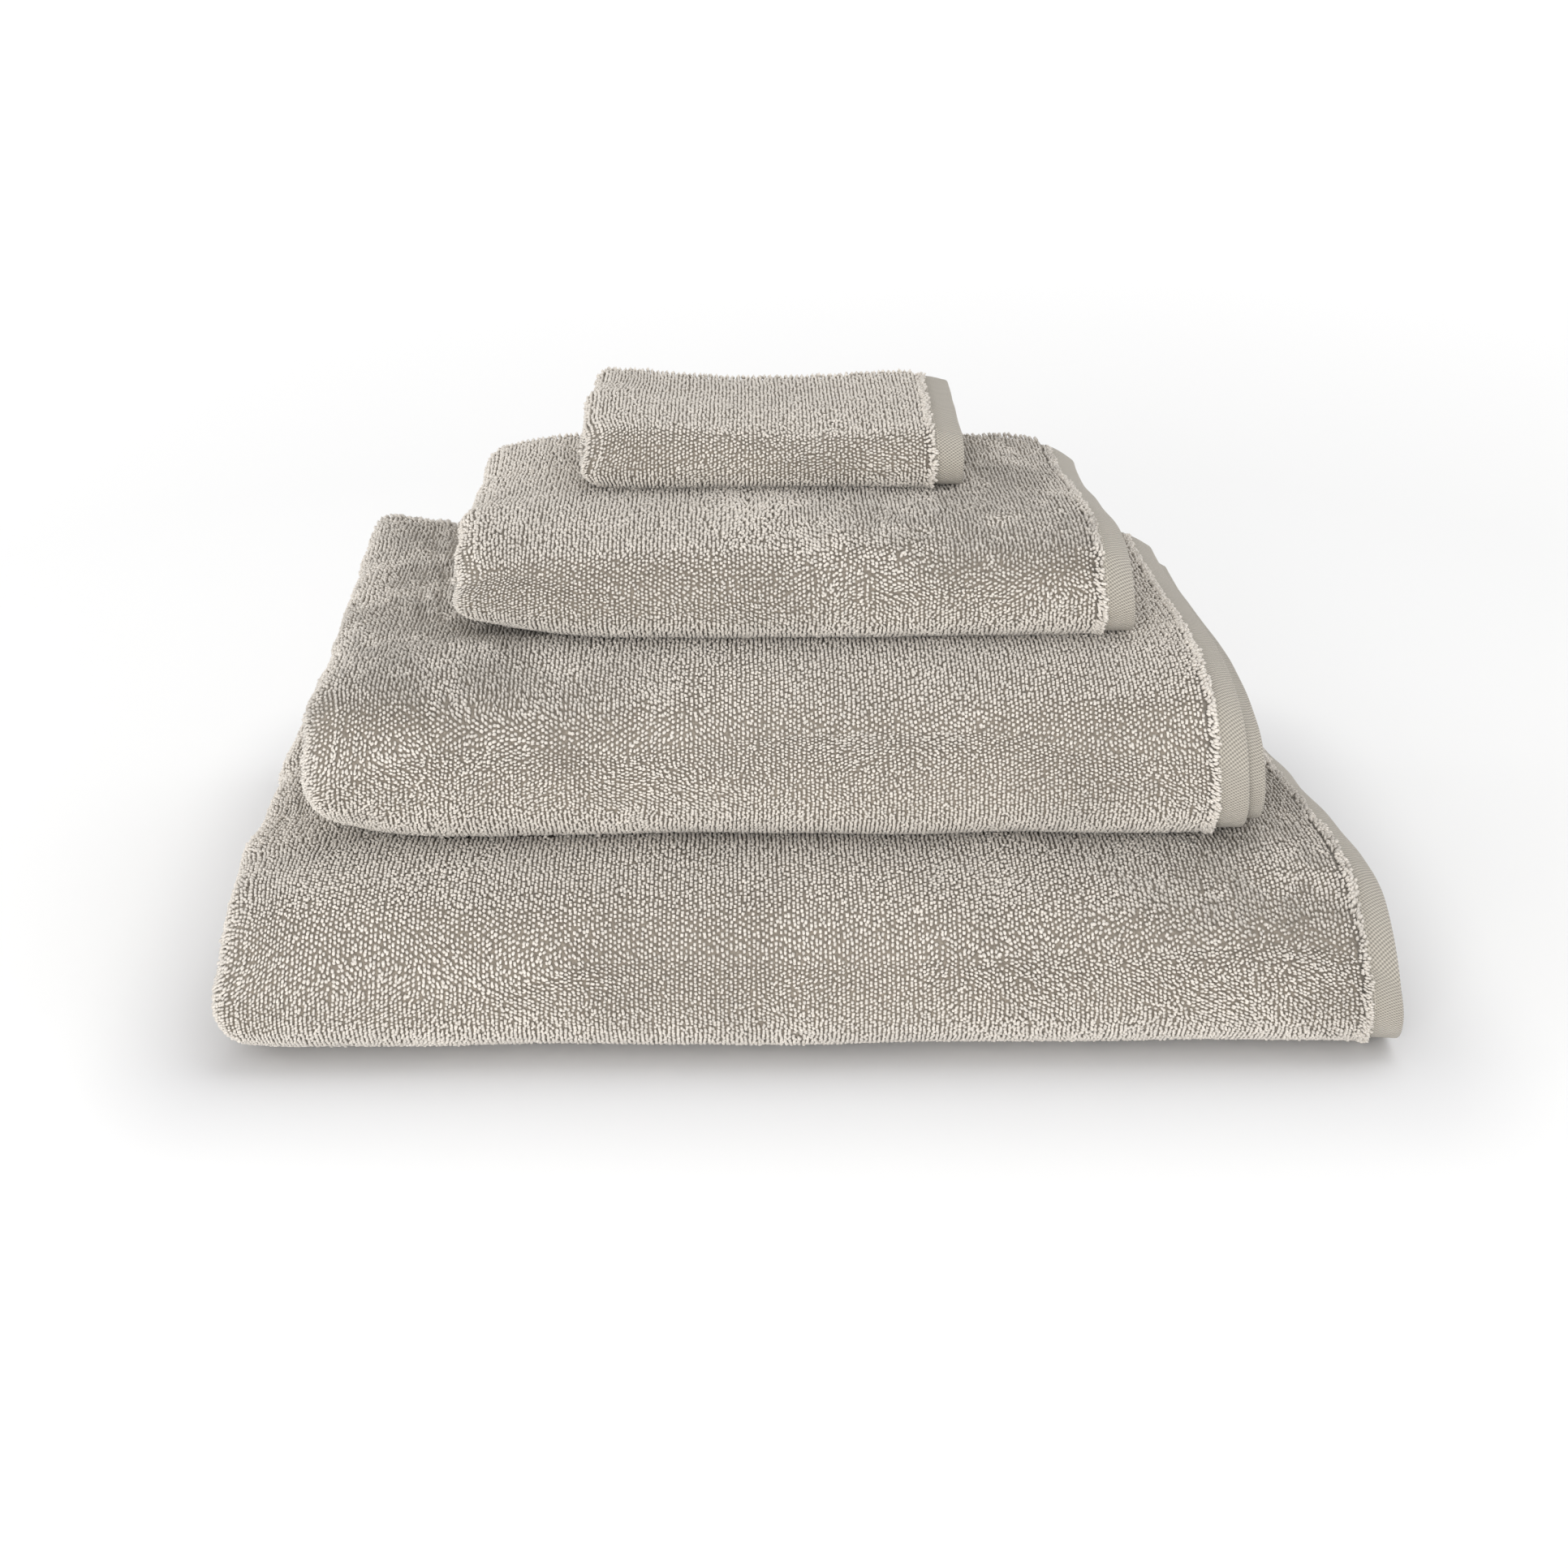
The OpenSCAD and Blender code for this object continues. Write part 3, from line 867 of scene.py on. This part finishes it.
# Columns of longer loops that hang over the end border: u, and how far they turn towards it
FRINGE_COLUMNS = [(0.1, 0.95), (1.0, 0.8), (2.0, 0.5)]


def is_covered(towel, u, s):
    """Whether the towel above hides the place, with an uneven edge."""
    if towel.number == 3:
        return np.zeros(len(u), bool)
    point = settle(towel, towel.place(u, s, towel.cloth / 2)[0])
    x, y = point[:, 0], point[:, 1]
    above = towels[towel.number + 1]
    wave = lumpy(u, s, COVER_LUMPS, towel)
    inside = (x > above.left + UNDER_LEFT + wave) & (x < above.outer_end - UNDER_RIGHT + wave)
    return inside & (y > above.front + UNDER_FRONT + wave) & (s < towel.s_upper)


def add_pile(towel):
    """All the pile of one towel that can be seen when the stack is taken apart."""
    random = np.random.default_rng(7 + towel.number)
    places = partings(towel, random)
    u_top = towel.u_outer_layer
    turn_end = towel.u_left_turn
    turn_half = u_top + 0.5 * (turn_end - u_top)
    hem = towel.side_hem_w
    front_length = math.pi * towel.front_r
    s_first = towel.s_lower + 0.04 * front_length
    fine, plain = [], []

    def fine_loops(u, s, **more):
        fine.append(add_loops(towel, u, s, FINE_PITCH, FINE_SIDES, random, places, **more))

    def plain_loops(u, s, pitch, **more):
        plain.append(add_loops(towel, u, s, pitch, PLAIN_SIDES, random, places, **more))

    # Outer layer: the front fold, the upper panel and the back fold
    u, s = brick_grid(2.6, u_top, s_first, towel.s_upper, FINE_PITCH, random)
    seen = ~is_covered(towel, u, s)
    fine_loops(u[seen], s[seen])
    u, s = brick_grid(2.6, u_top, s_first, towel.s_upper, HIDDEN_PITCH, random)
    hidden = is_covered(towel, u, s)
    plain_loops(u[hidden], s[hidden], HIDDEN_PITCH)
    u, s = brick_grid(2.6, u_top, towel.s_upper, towel.s_back, COARSE_PITCH, random)
    plain_loops(u, s, COARSE_PITCH)

    # The rounded left ends of all three panels, where the turn spreads the tips of the loops
    spread = (towel.panel / 2 - towel.cloth / 2) / (towel.panel / 2 - PILE_DEPTH)
    turn_pitch = (FINE_PITCH[0] * spread, FINE_PITCH[1] * 1.1)
    u, s = brick_grid(u_top - 0.9, turn_half, s_first, towel.s_upper, turn_pitch, random)
    fine_loops(u, s, ruffle=0.5)
    wide_pitch = (TURN_PITCH[0] * spread, TURN_PITCH[1])
    u, s = brick_grid(u_top - 0.9, turn_end, hem, towel.s_flap - hem, wide_pitch, random)
    rest = (s < s_first) | (s > towel.s_upper) | (u > turn_half)
    plain_loops(u[rest], s[rest], TURN_PITCH, ruffle=0.8)

    # The middle fold, which shows from the right
    for stretch in towel.stretches:
        if stretch.kind == "right_turn":
            s_end = towel.s_flap - hem
            u, s = brick_grid(stretch.start, stretch.end, hem, s_end, TURN_PITCH, random)
            plain_loops(u, s, TURN_PITCH, ruffle=0.8)

    # Ragged columns of longer loops along the border
    for column, fringe in FRINGE_COLUMNS:
        s = np.arange(hem, towel.s_upper - 4, 1.35)
        s = s + random.normal(0, 0.35, len(s))
        clumps = lumpy(s, 0 * s, FRINGE_LUMPS, towel)
        u = column + 0.55 * clumps + random.normal(0, 0.35, len(s))
        fine_loops(u, s, fringe=fringe)

    # Loops that hang down into the crease under the front fold
    for row in range(4):
        u = np.arange(1.0, turn_half, 1.3)
        u = u + random.normal(0, 0.3, len(u))
        s = towel.s_lower + (0.02 + 0.03 * row) * front_length
        s = s + random.normal(0, 0.7, len(u))
        fine_loops(u, s, ruffle=0.9)

    pieces = write_loops(towel, fine, FINE_SIDES, "pile")
    return pieces + write_loops(towel, plain, PLAIN_SIDES, "under_pile")


# ---------------------------------------------------------------- stitches

# Stitches: how far apart they are, how far from the hem's inner edge, and the places along one
# with the thread's radius and its rise there, from one sunk end to the other
STITCH_PITCH = 3.1
STITCH_INSET = 2.2
STITCH = [(-1.15, 0.0, -0.12), (-0.75, 0.30, 0.05), (0.75, 0.30, 0.05), (1.15, 0.0, -0.12)]


def stitch_run(towel, u, s, lift, along):
    """Short raised stitches at places (u, s). along is "s" or "u"."""
    point, normal, along_u, along_s = towel.place(u, s, lift)
    way = along_s if along == "s" else along_u
    cross = np.cross(normal, way)
    rings = []
    for reach, girth, rise in STITCH:
        centre = point + way * reach + normal * rise
        if girth == 0:
            rings.append(centre[:, None])
            continue
        for k in range(4):
            angle = math.pi / 2 * (k + 0.5)
            spread = cross * math.cos(angle) + normal * math.sin(angle) * 0.7
            rings.append((centre + spread * girth)[:, None])
    return np.concatenate(rings, 1)


def write_stitches(name, towel, runs):
    """Writes runs of stitches as one piece."""
    points = np.concatenate(runs)
    count, size = points.shape[:2]
    flat = settle(towel, points.reshape(-1, 3))
    template = grain_faces(4)
    faces = ((np.arange(count) * size)[:, None, None] + template[None]).reshape(-1, 3)
    faces = outward(flat, faces)
    return make_mesh(name, flat, faces)


def add_end_stitches(towel):
    lift = (towel.hem_cloth / 2 - 0.1) * STITCHED_SHARE
    s = np.arange(2.0, towel.s_flap - 2.0, STITCH_PITCH)
    outer = stitch_run(towel, np.full(len(s), -STITCH_INSET), s, lift, "s")
    inner = stitch_run(towel, np.full(len(s), towel.u_end + STITCH_INSET), s, -lift, "s")
    return write_stitches(towel.name + "_end_stitches", towel, [outer, inner])


def add_side_stitches(towel):
    lift = towel.cloth / 2 - SIDE_HEM_SINK
    u = np.arange(3.0, towel.u_outer_layer, STITCH_PITCH)
    place = towel.side_hem_w - STITCH_INSET
    lower = stitch_run(towel, u, np.full(len(u), place), lift, "u")
    inner = stitch_run(towel, u, np.full(len(u), towel.s_flap - place), lift, "u")
    return write_stitches(towel.name + "_side_stitches", towel, [lower, inner])


# ---------------------------------------------------------------- materials

def new_material(name):
    material = bpy.data.materials.new(name)
    material.use_nodes = True
    tree = material.node_tree
    shader = tree.nodes["Principled BSDF"]
    return material, tree, shader


def add_node(tree, kind, **settings):
    """A new node with its settings."""
    made = tree.nodes.new(kind)
    for key, value in settings.items():
        setattr(made, key, value)
    return made


def math_node(tree, operation, a, b):
    """The result of one sum. a and b are numbers or the outputs of other nodes."""
    made = add_node(tree, "ShaderNodeMath", operation=operation)
    for socket, value in zip(made.inputs, (a, b)):
        if isinstance(value, (int, float)):
            socket.default_value = value
        else:
            tree.links.new(value, socket)
    return made.outputs[0]


def dyed_yarn_group():
    """Dyed cotton: an even colour, with broad and fine uneven patches."""
    group = bpy.data.node_groups.new("dyed yarn", "ShaderNodeTree")
    face = group.interface
    face.new_socket("Colour", in_out="INPUT", socket_type="NodeSocketColor")
    face.new_socket("Place", in_out="INPUT", socket_type="NodeSocketVector")
    face.new_socket("Unevenness", in_out="INPUT", socket_type="NodeSocketFloat")
    face.new_socket("Shade", in_out="INPUT", socket_type="NodeSocketFloat")
    face.new_socket("Colour", in_out="OUTPUT", socket_type="NodeSocketColor")
    face.new_socket("Fibre", in_out="OUTPUT", socket_type="NodeSocketFloat")
    inside = group.nodes.new("NodeGroupInput")
    outside = group.nodes.new("NodeGroupOutput")
    broad = add_node(group, "ShaderNodeTexNoise")
    broad.inputs["Scale"].default_value = 22.0
    broad.inputs["Detail"].default_value = 3.0
    fibre = add_node(group, "ShaderNodeTexNoise")
    fibre.inputs["Scale"].default_value = 2600.0
    fibre.inputs["Detail"].default_value = 2.0
    group.links.new(inside.outputs["Place"], broad.inputs["Vector"])
    group.links.new(inside.outputs["Place"], fibre.inputs["Vector"])
    patch = math_node(group, "SUBTRACT", broad.outputs["Fac"], 0.5)
    patch = math_node(group, "MULTIPLY", patch, inside.outputs["Unevenness"])
    hair = math_node(group, "SUBTRACT", fibre.outputs["Fac"], 0.5)
    hair = math_node(group, "MULTIPLY", hair, 0.25)
    value = math_node(group, "ADD", patch, hair)
    value = math_node(group, "ADD", value, inside.outputs["Shade"])
    tint = add_node(group, "ShaderNodeHueSaturation")
    group.links.new(value, tint.inputs["Value"])
    group.links.new(inside.outputs["Colour"], tint.inputs["Color"])
    group.links.new(tint.outputs["Color"], outside.inputs["Colour"])
    group.links.new(fibre.outputs["Fac"], outside.inputs["Fibre"])
    return group


def use_yarn(tree, group, colour, place, unevenness, shade):
    """Dyed yarn in a material. colour and shade are fixed or the outputs of other nodes."""
    made = add_node(tree, "ShaderNodeGroup", node_tree=group)
    if isinstance(colour, tuple):
        made.inputs["Colour"].default_value = colour + (1.0,)
    else:
        tree.links.new(colour, made.inputs["Colour"])
    tree.links.new(place, made.inputs["Place"])
    made.inputs["Unevenness"].default_value = unevenness
    if isinstance(shade, (int, float)):
        made.inputs["Shade"].default_value = shade
    else:
        tree.links.new(shade, made.inputs["Shade"])
    return made


def finish_cloth(tree, shader, colour, height, strength, distance):
    """The matt finish with a faint sheen that all the cloths have, and their own bumps."""
    tree.links.new(colour, shader.inputs["Base Color"])
    bump = add_node(tree, "ShaderNodeBump")
    bump.inputs["Strength"].default_value = strength
    bump.inputs["Distance"].default_value = distance
    tree.links.new(height, bump.inputs["Height"])
    tree.links.new(bump.outputs["Normal"], shader.inputs["Normal"])
    shader.inputs["Roughness"].default_value = 0.9
    shader.inputs["Specular IOR Level"].default_value = 0.2
    shader.inputs["Sheen Weight"].default_value = 0.35
    shader.inputs["Sheen Roughness"].default_value = 0.5
    shader.inputs["Sheen Tint"].default_value = (1.0, 0.97, 0.93, 1.0)


PILE_COLOUR = (0.735, 0.690, 0.632)
# The root colour is painted shade: loops are painted darker towards their roots, and the ground
# cloth between them is painted with it
PILE_ROOT_SHADE = (0.310, 0.273, 0.228)
BORDER_COLOUR = (0.425, 0.392, 0.340)
THREAD_COLOUR = (0.60, 0.56, 0.49)
# Repeats of the weaves, in metres
BORDER_WEAVE = 0.0017
HEM_RIB = 0.0014


def pile_material(group):
    """Loops of soft twisted yarn, painted darker towards the root as painted shade, each a little
    different.
    """
    material, tree, shader = new_material("terry pile")
    where = add_node(tree, "ShaderNodeTexCoord")
    shade = add_node(tree, "ShaderNodeAttribute", attribute_name="shade")
    tip = add_node(tree, "ShaderNodeAttribute", attribute_name="tip")
    # Painted shade: the colour runs from the dark root colour at the root to the yarn's own colour
    # towards the tip
    ramp = add_node(tree, "ShaderNodeValToRGB")
    ramp.color_ramp.elements[0].color = PILE_ROOT_SHADE + (1.0,)
    ramp.color_ramp.elements[1].color = PILE_COLOUR + (1.0,)
    ramp.color_ramp.elements[1].position = 0.7
    tree.links.new(tip.outputs["Fac"], ramp.inputs["Fac"])
    # The shade attribute holds each loop's own random tone together with its painted shade and
    # painted light
    value = math_node(tree, "MULTIPLY", shade.outputs["Fac"], 0.18)
    value = math_node(tree, "ADD", value, 0.94)
    yarn = use_yarn(tree, group, ramp.outputs["Color"], where.outputs["Object"], 0.12, value)
    finish_cloth(tree, shader, yarn.outputs["Colour"], yarn.outputs["Fibre"], 0.5, 0.0002)
    return material


def terry_material(group):
    """Flattened terry: the ground cloth and the pile that is pressed between the layers. Its colour
    is the painted shade of the loops' roots, painted darker still where its cells sink.
    """
    material, tree, shader = new_material("terry cloth")
    where = add_node(tree, "ShaderNodeTexCoord")
    cells = add_node(tree, "ShaderNodeTexVoronoi")
    cells.inputs["Scale"].default_value = 560.0
    tree.links.new(where.outputs["Object"], cells.inputs["Vector"])
    # Painted shade: darker where the cells sink, as the bump has them
    deep = math_node(tree, "MULTIPLY", cells.outputs["Distance"], -0.45)
    value = math_node(tree, "ADD", deep, 1.12)
    yarn = use_yarn(tree, group, PILE_ROOT_SHADE, where.outputs["Object"], 0.2, value)
    height = math_node(tree, "MULTIPLY", cells.outputs["Distance"], -1.0)
    finish_cloth(tree, shader, yarn.outputs["Colour"], height, 0.8, 0.0008)
    return material


def border_material(group):
    """Bird's-eye weave: small raised dots in diagonal rows, painted darker between the dots as
    painted shade.
    """
    material, tree, shader = new_material("woven border")
    where = add_node(tree, "ShaderNodeTexCoord")
    split = add_node(tree, "ShaderNodeSeparateXYZ")
    tree.links.new(where.outputs["UV"], split.inputs["Vector"])
    per_metre = 2 * math.pi / BORDER_WEAVE
    along = math_node(tree, "MULTIPLY", split.outputs["X"], per_metre)
    across = math_node(tree, "MULTIPLY", split.outputs["Y"], per_metre)
    along = math_node(tree, "COSINE", along, 0.0)
    across = math_node(tree, "COSINE", across, 0.0)
    dots = math_node(tree, "MULTIPLY", along, across)
    dots = math_node(tree, "MULTIPLY", dots, 0.5)
    dots = math_node(tree, "ADD", dots, 0.5)
    # Painted shade: the colour darkens between the raised dots, with the bump
    value = math_node(tree, "MULTIPLY", dots, 1.05)
    value = math_node(tree, "ADD", value, 0.50)
    yarn = use_yarn(tree, group, BORDER_COLOUR, where.outputs["Object"], 0.10, value)
    finish_cloth(tree, shader, yarn.outputs["Colour"], dots, 0.9, 0.0005)
    return material


def hem_material(group):
    """Plain-woven side hem with a fine rib, painted darker in the rib's grooves as painted shade.
    """
    material, tree, shader = new_material("side hem")
    where = add_node(tree, "ShaderNodeTexCoord")
    split = add_node(tree, "ShaderNodeSeparateXYZ")
    tree.links.new(where.outputs["UV"], split.inputs["Vector"])
    rib = math_node(tree, "MULTIPLY", split.outputs["X"], 2 * math.pi / HEM_RIB)
    rib = math_node(tree, "SINE", rib, 0.0)
    rib = math_node(tree, "MULTIPLY", rib, 0.5)
    rib = math_node(tree, "ADD", rib, 0.5)
    # Painted shade: the colour darkens in the rib's grooves, with the bump
    value = math_node(tree, "MULTIPLY", rib, 0.40)
    value = math_node(tree, "ADD", value, 0.80)
    yarn = use_yarn(tree, group, BORDER_COLOUR, where.outputs["Object"], 0.12, value)
    finish_cloth(tree, shader, yarn.outputs["Colour"], rib, 0.8, 0.0004)
    return material


def thread_material(group):
    """Twisted sewing thread."""
    material, tree, shader = new_material("sewing thread")
    where = add_node(tree, "ShaderNodeTexCoord")
    yarn = use_yarn(tree, group, THREAD_COLOUR, where.outputs["Object"], 0.1, 1.0)
    finish_cloth(tree, shader, yarn.outputs["Colour"], yarn.outputs["Fibre"], 0.4, 0.0001)
    return material


def make_materials():
    group = dyed_yarn_group()
    return {
        "pile": pile_material(group),
        "terry": terry_material(group),
        "border": border_material(group),
        "hem": hem_material(group),
        "thread": thread_material(group),
    }


# ---------------------------------------------------------------- floor and light

# Lengths here are in metres. A shadow is painted on the floor close to the stack, from
# HALO_INSET inside its sides up to HALO_REACH in front and behind, and less far to the left and
# right. Far from the stack the floor glows faintly.
FLOOR_SIZE = 60.0
HALO_REACH = 0.11
HALO_INSET = 0.008
PAINTED_SHADOW_COLOUR = (0.80, 0.80, 0.81, 1.0)
FLOOR_COLOUR = (0.97, 0.97, 0.97, 1.0)
SIDEWAYS_SHARPNESS = 1.5
GLOW_START = 0.5
GLOW_FULL = 2.5
GLOW = 0.25
# The middle of the stack, which the lights face
LIGHT_TARGET = (0, 0, 0.08)


def floor_material():
    """A white paper sweep with a shadow painted on it close to the stack, that glows faintly and
    fades to pure white away from the stack.
    """
    material, tree, shader = new_material("white floor")
    half_length, half_depth, _ = bounds_before[1]
    where = add_node(tree, "ShaderNodeTexCoord")
    split = add_node(tree, "ShaderNodeSeparateXYZ")
    tree.links.new(where.outputs["Object"], split.inputs["Vector"])
    distances = []
    for axis, half, sharpness in (
            ("X", half_length, SIDEWAYS_SHARPNESS), ("Y", half_depth, 1.0)):
        beyond = math_node(tree, "ABSOLUTE", split.outputs[axis], 0.0)
        beyond = math_node(tree, "SUBTRACT", beyond, half - HALO_INSET)
        beyond = math_node(tree, "MAXIMUM", beyond, 0.0)
        beyond = math_node(tree, "MULTIPLY", beyond, sharpness)
        distances.append(math_node(tree, "POWER", beyond, 2.0))
    far = math_node(tree, "ADD", distances[0], distances[1])
    far = math_node(tree, "SQRT", far, 0.0)
    near = math_node(tree, "DIVIDE", far, HALO_REACH)
    # Painted shadow: the floor's colour darkens towards the stack
    ramp = add_node(tree, "ShaderNodeValToRGB")
    ramp.color_ramp.interpolation = "EASE"
    ramp.color_ramp.elements[0].color = PAINTED_SHADOW_COLOUR
    ramp.color_ramp.elements[1].color = FLOOR_COLOUR
    tree.links.new(near, ramp.inputs["Fac"])
    tree.links.new(ramp.outputs["Color"], shader.inputs["Base Color"])
    glow = add_node(tree, "ShaderNodeMapRange")
    glow.inputs["From Min"].default_value = GLOW_START
    glow.inputs["From Max"].default_value = GLOW_FULL
    glow.inputs["To Max"].default_value = GLOW
    tree.links.new(far, glow.inputs["Value"])
    tree.links.new(glow.outputs["Result"], shader.inputs["Emission Strength"])
    shader.inputs["Emission Color"].default_value = (1.0, 1.0, 1.0, 1.0)
    shader.inputs["Roughness"].default_value = 1.0
    shader.inputs["Specular IOR Level"].default_value = 0.0
    return material


def add_floor():
    """The wide white floor that the stack lies on."""
    bpy.ops.object.select_all(action="DESELECT")
    bpy.ops.mesh.primitive_plane_add(size=FLOOR_SIZE, location=(0, 0, 0))
    floor = bpy.context.object
    floor.name = "floor"
    floor.data.materials.append(floor_material())


def add_area_light(name, place, size, power, colour):
    """A square soft light that faces the stack."""
    light = bpy.data.lights.new(name, "AREA")
    light.shape = "SQUARE"
    light.size = size
    light.energy = power
    light.color = colour
    made = bpy.data.objects.new(name, light)
    made.location = place
    way = Vector(LIGHT_TARGET) - Vector(place)
    made.rotation_euler = way.to_track_quat("-Z", "Y").to_euler()
    bpy.context.scene.collection.objects.link(made)


def add_soft_sun(name, way_from, strength, spread):
    """An even light from one direction, softened over a spread in degrees."""
    sun = bpy.data.lights.new(name, "SUN")
    sun.energy = strength
    sun.angle = math.radians(spread)
    made = bpy.data.objects.new(name, sun)
    made.rotation_euler = Vector(way_from).to_track_quat("Z", "Y").to_euler()
    bpy.context.scene.collection.objects.link(made)


def add_white_room():
    """A white room that lights less from above, and looks pure white behind the stack."""
    world = bpy.data.worlds.new("white room")
    world.use_nodes = True
    tree = world.node_tree
    background = tree.nodes["Background"]
    background.inputs["Color"].default_value = (1.0, 1.0, 1.0, 1.0)
    where = add_node(tree, "ShaderNodeTexCoord")
    split = add_node(tree, "ShaderNodeSeparateXYZ")
    fade = add_node(tree, "ShaderNodeMapRange")
    fade.inputs["From Min"].default_value = 0.12
    fade.inputs["From Max"].default_value = 0.6
    fade.inputs["To Min"].default_value = 1.01
    fade.inputs["To Max"].default_value = 0.62
    tree.links.new(where.outputs["Generated"], split.inputs["Vector"])
    tree.links.new(split.outputs["Z"], fade.inputs["Value"])
    ray = add_node(tree, "ShaderNodeLightPath")
    strength = math_node(tree, "MAXIMUM", fade.outputs["Result"], ray.outputs["Is Camera Ray"])
    tree.links.new(strength, background.inputs["Strength"])
    bpy.context.scene.world = world
    bpy.context.scene.view_settings.view_transform = "Standard"


def add_lights():
    """Soft light from above and behind, and two soft lights from the front and the left."""
    add_white_room()
    add_soft_sun("overhead", way_from=(0.34, 0.36, 0.85), strength=0.84, spread=60.0)
    warm_white = (1.0, 0.99, 0.97)
    add_area_light("front", place=(-0.5, -2.2, 0.5), size=1.4, power=33.0, colour=warm_white)
    add_area_light("left", place=(-1.8, 0.2, 0.45), size=0.9, power=4.0, colour=(1.0, 1.0, 1.0))


# ---------------------------------------------------------------- put together

def add_towel(towel):
    """All the pieces of one towel, with the parts that they take the place of hidden."""
    name = towel.name
    terry = add_terry(towel)
    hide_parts(name + "_terry")
    terry.data.materials.append(materials["terry"])
    pile = add_pile(towel)
    parts = []
    for end in ("outer", "inner"):
        border = add_end_border(towel, end)
        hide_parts(f"{name}_{end}_end_border")
        border.data.materials.append(materials["border"])
        parts.append(border)
    for end in ("lower", "inner"):
        hem = add_side_hem(towel, end)
        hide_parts(f"{name}_{end}_side_hem")
        hem.data.materials.append(materials["hem"])
        parts.append(hem)
    for kind, make in (("end", add_end_stitches), ("side", add_side_stitches)):
        stitches = make(towel)
        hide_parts(f"{name}_{kind}_hem_thread")
        stitches.data.materials.append(materials["thread"])
        parts.append(stitches)
    for piece in [terry] + pile + parts:
        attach(piece, name)


add_camera()
add_floor()
add_lights()
materials = make_materials()
towels = [Towel(number, *facts) for number, facts in enumerate(TOWELS)]
for each in towels:
    add_towel(each)
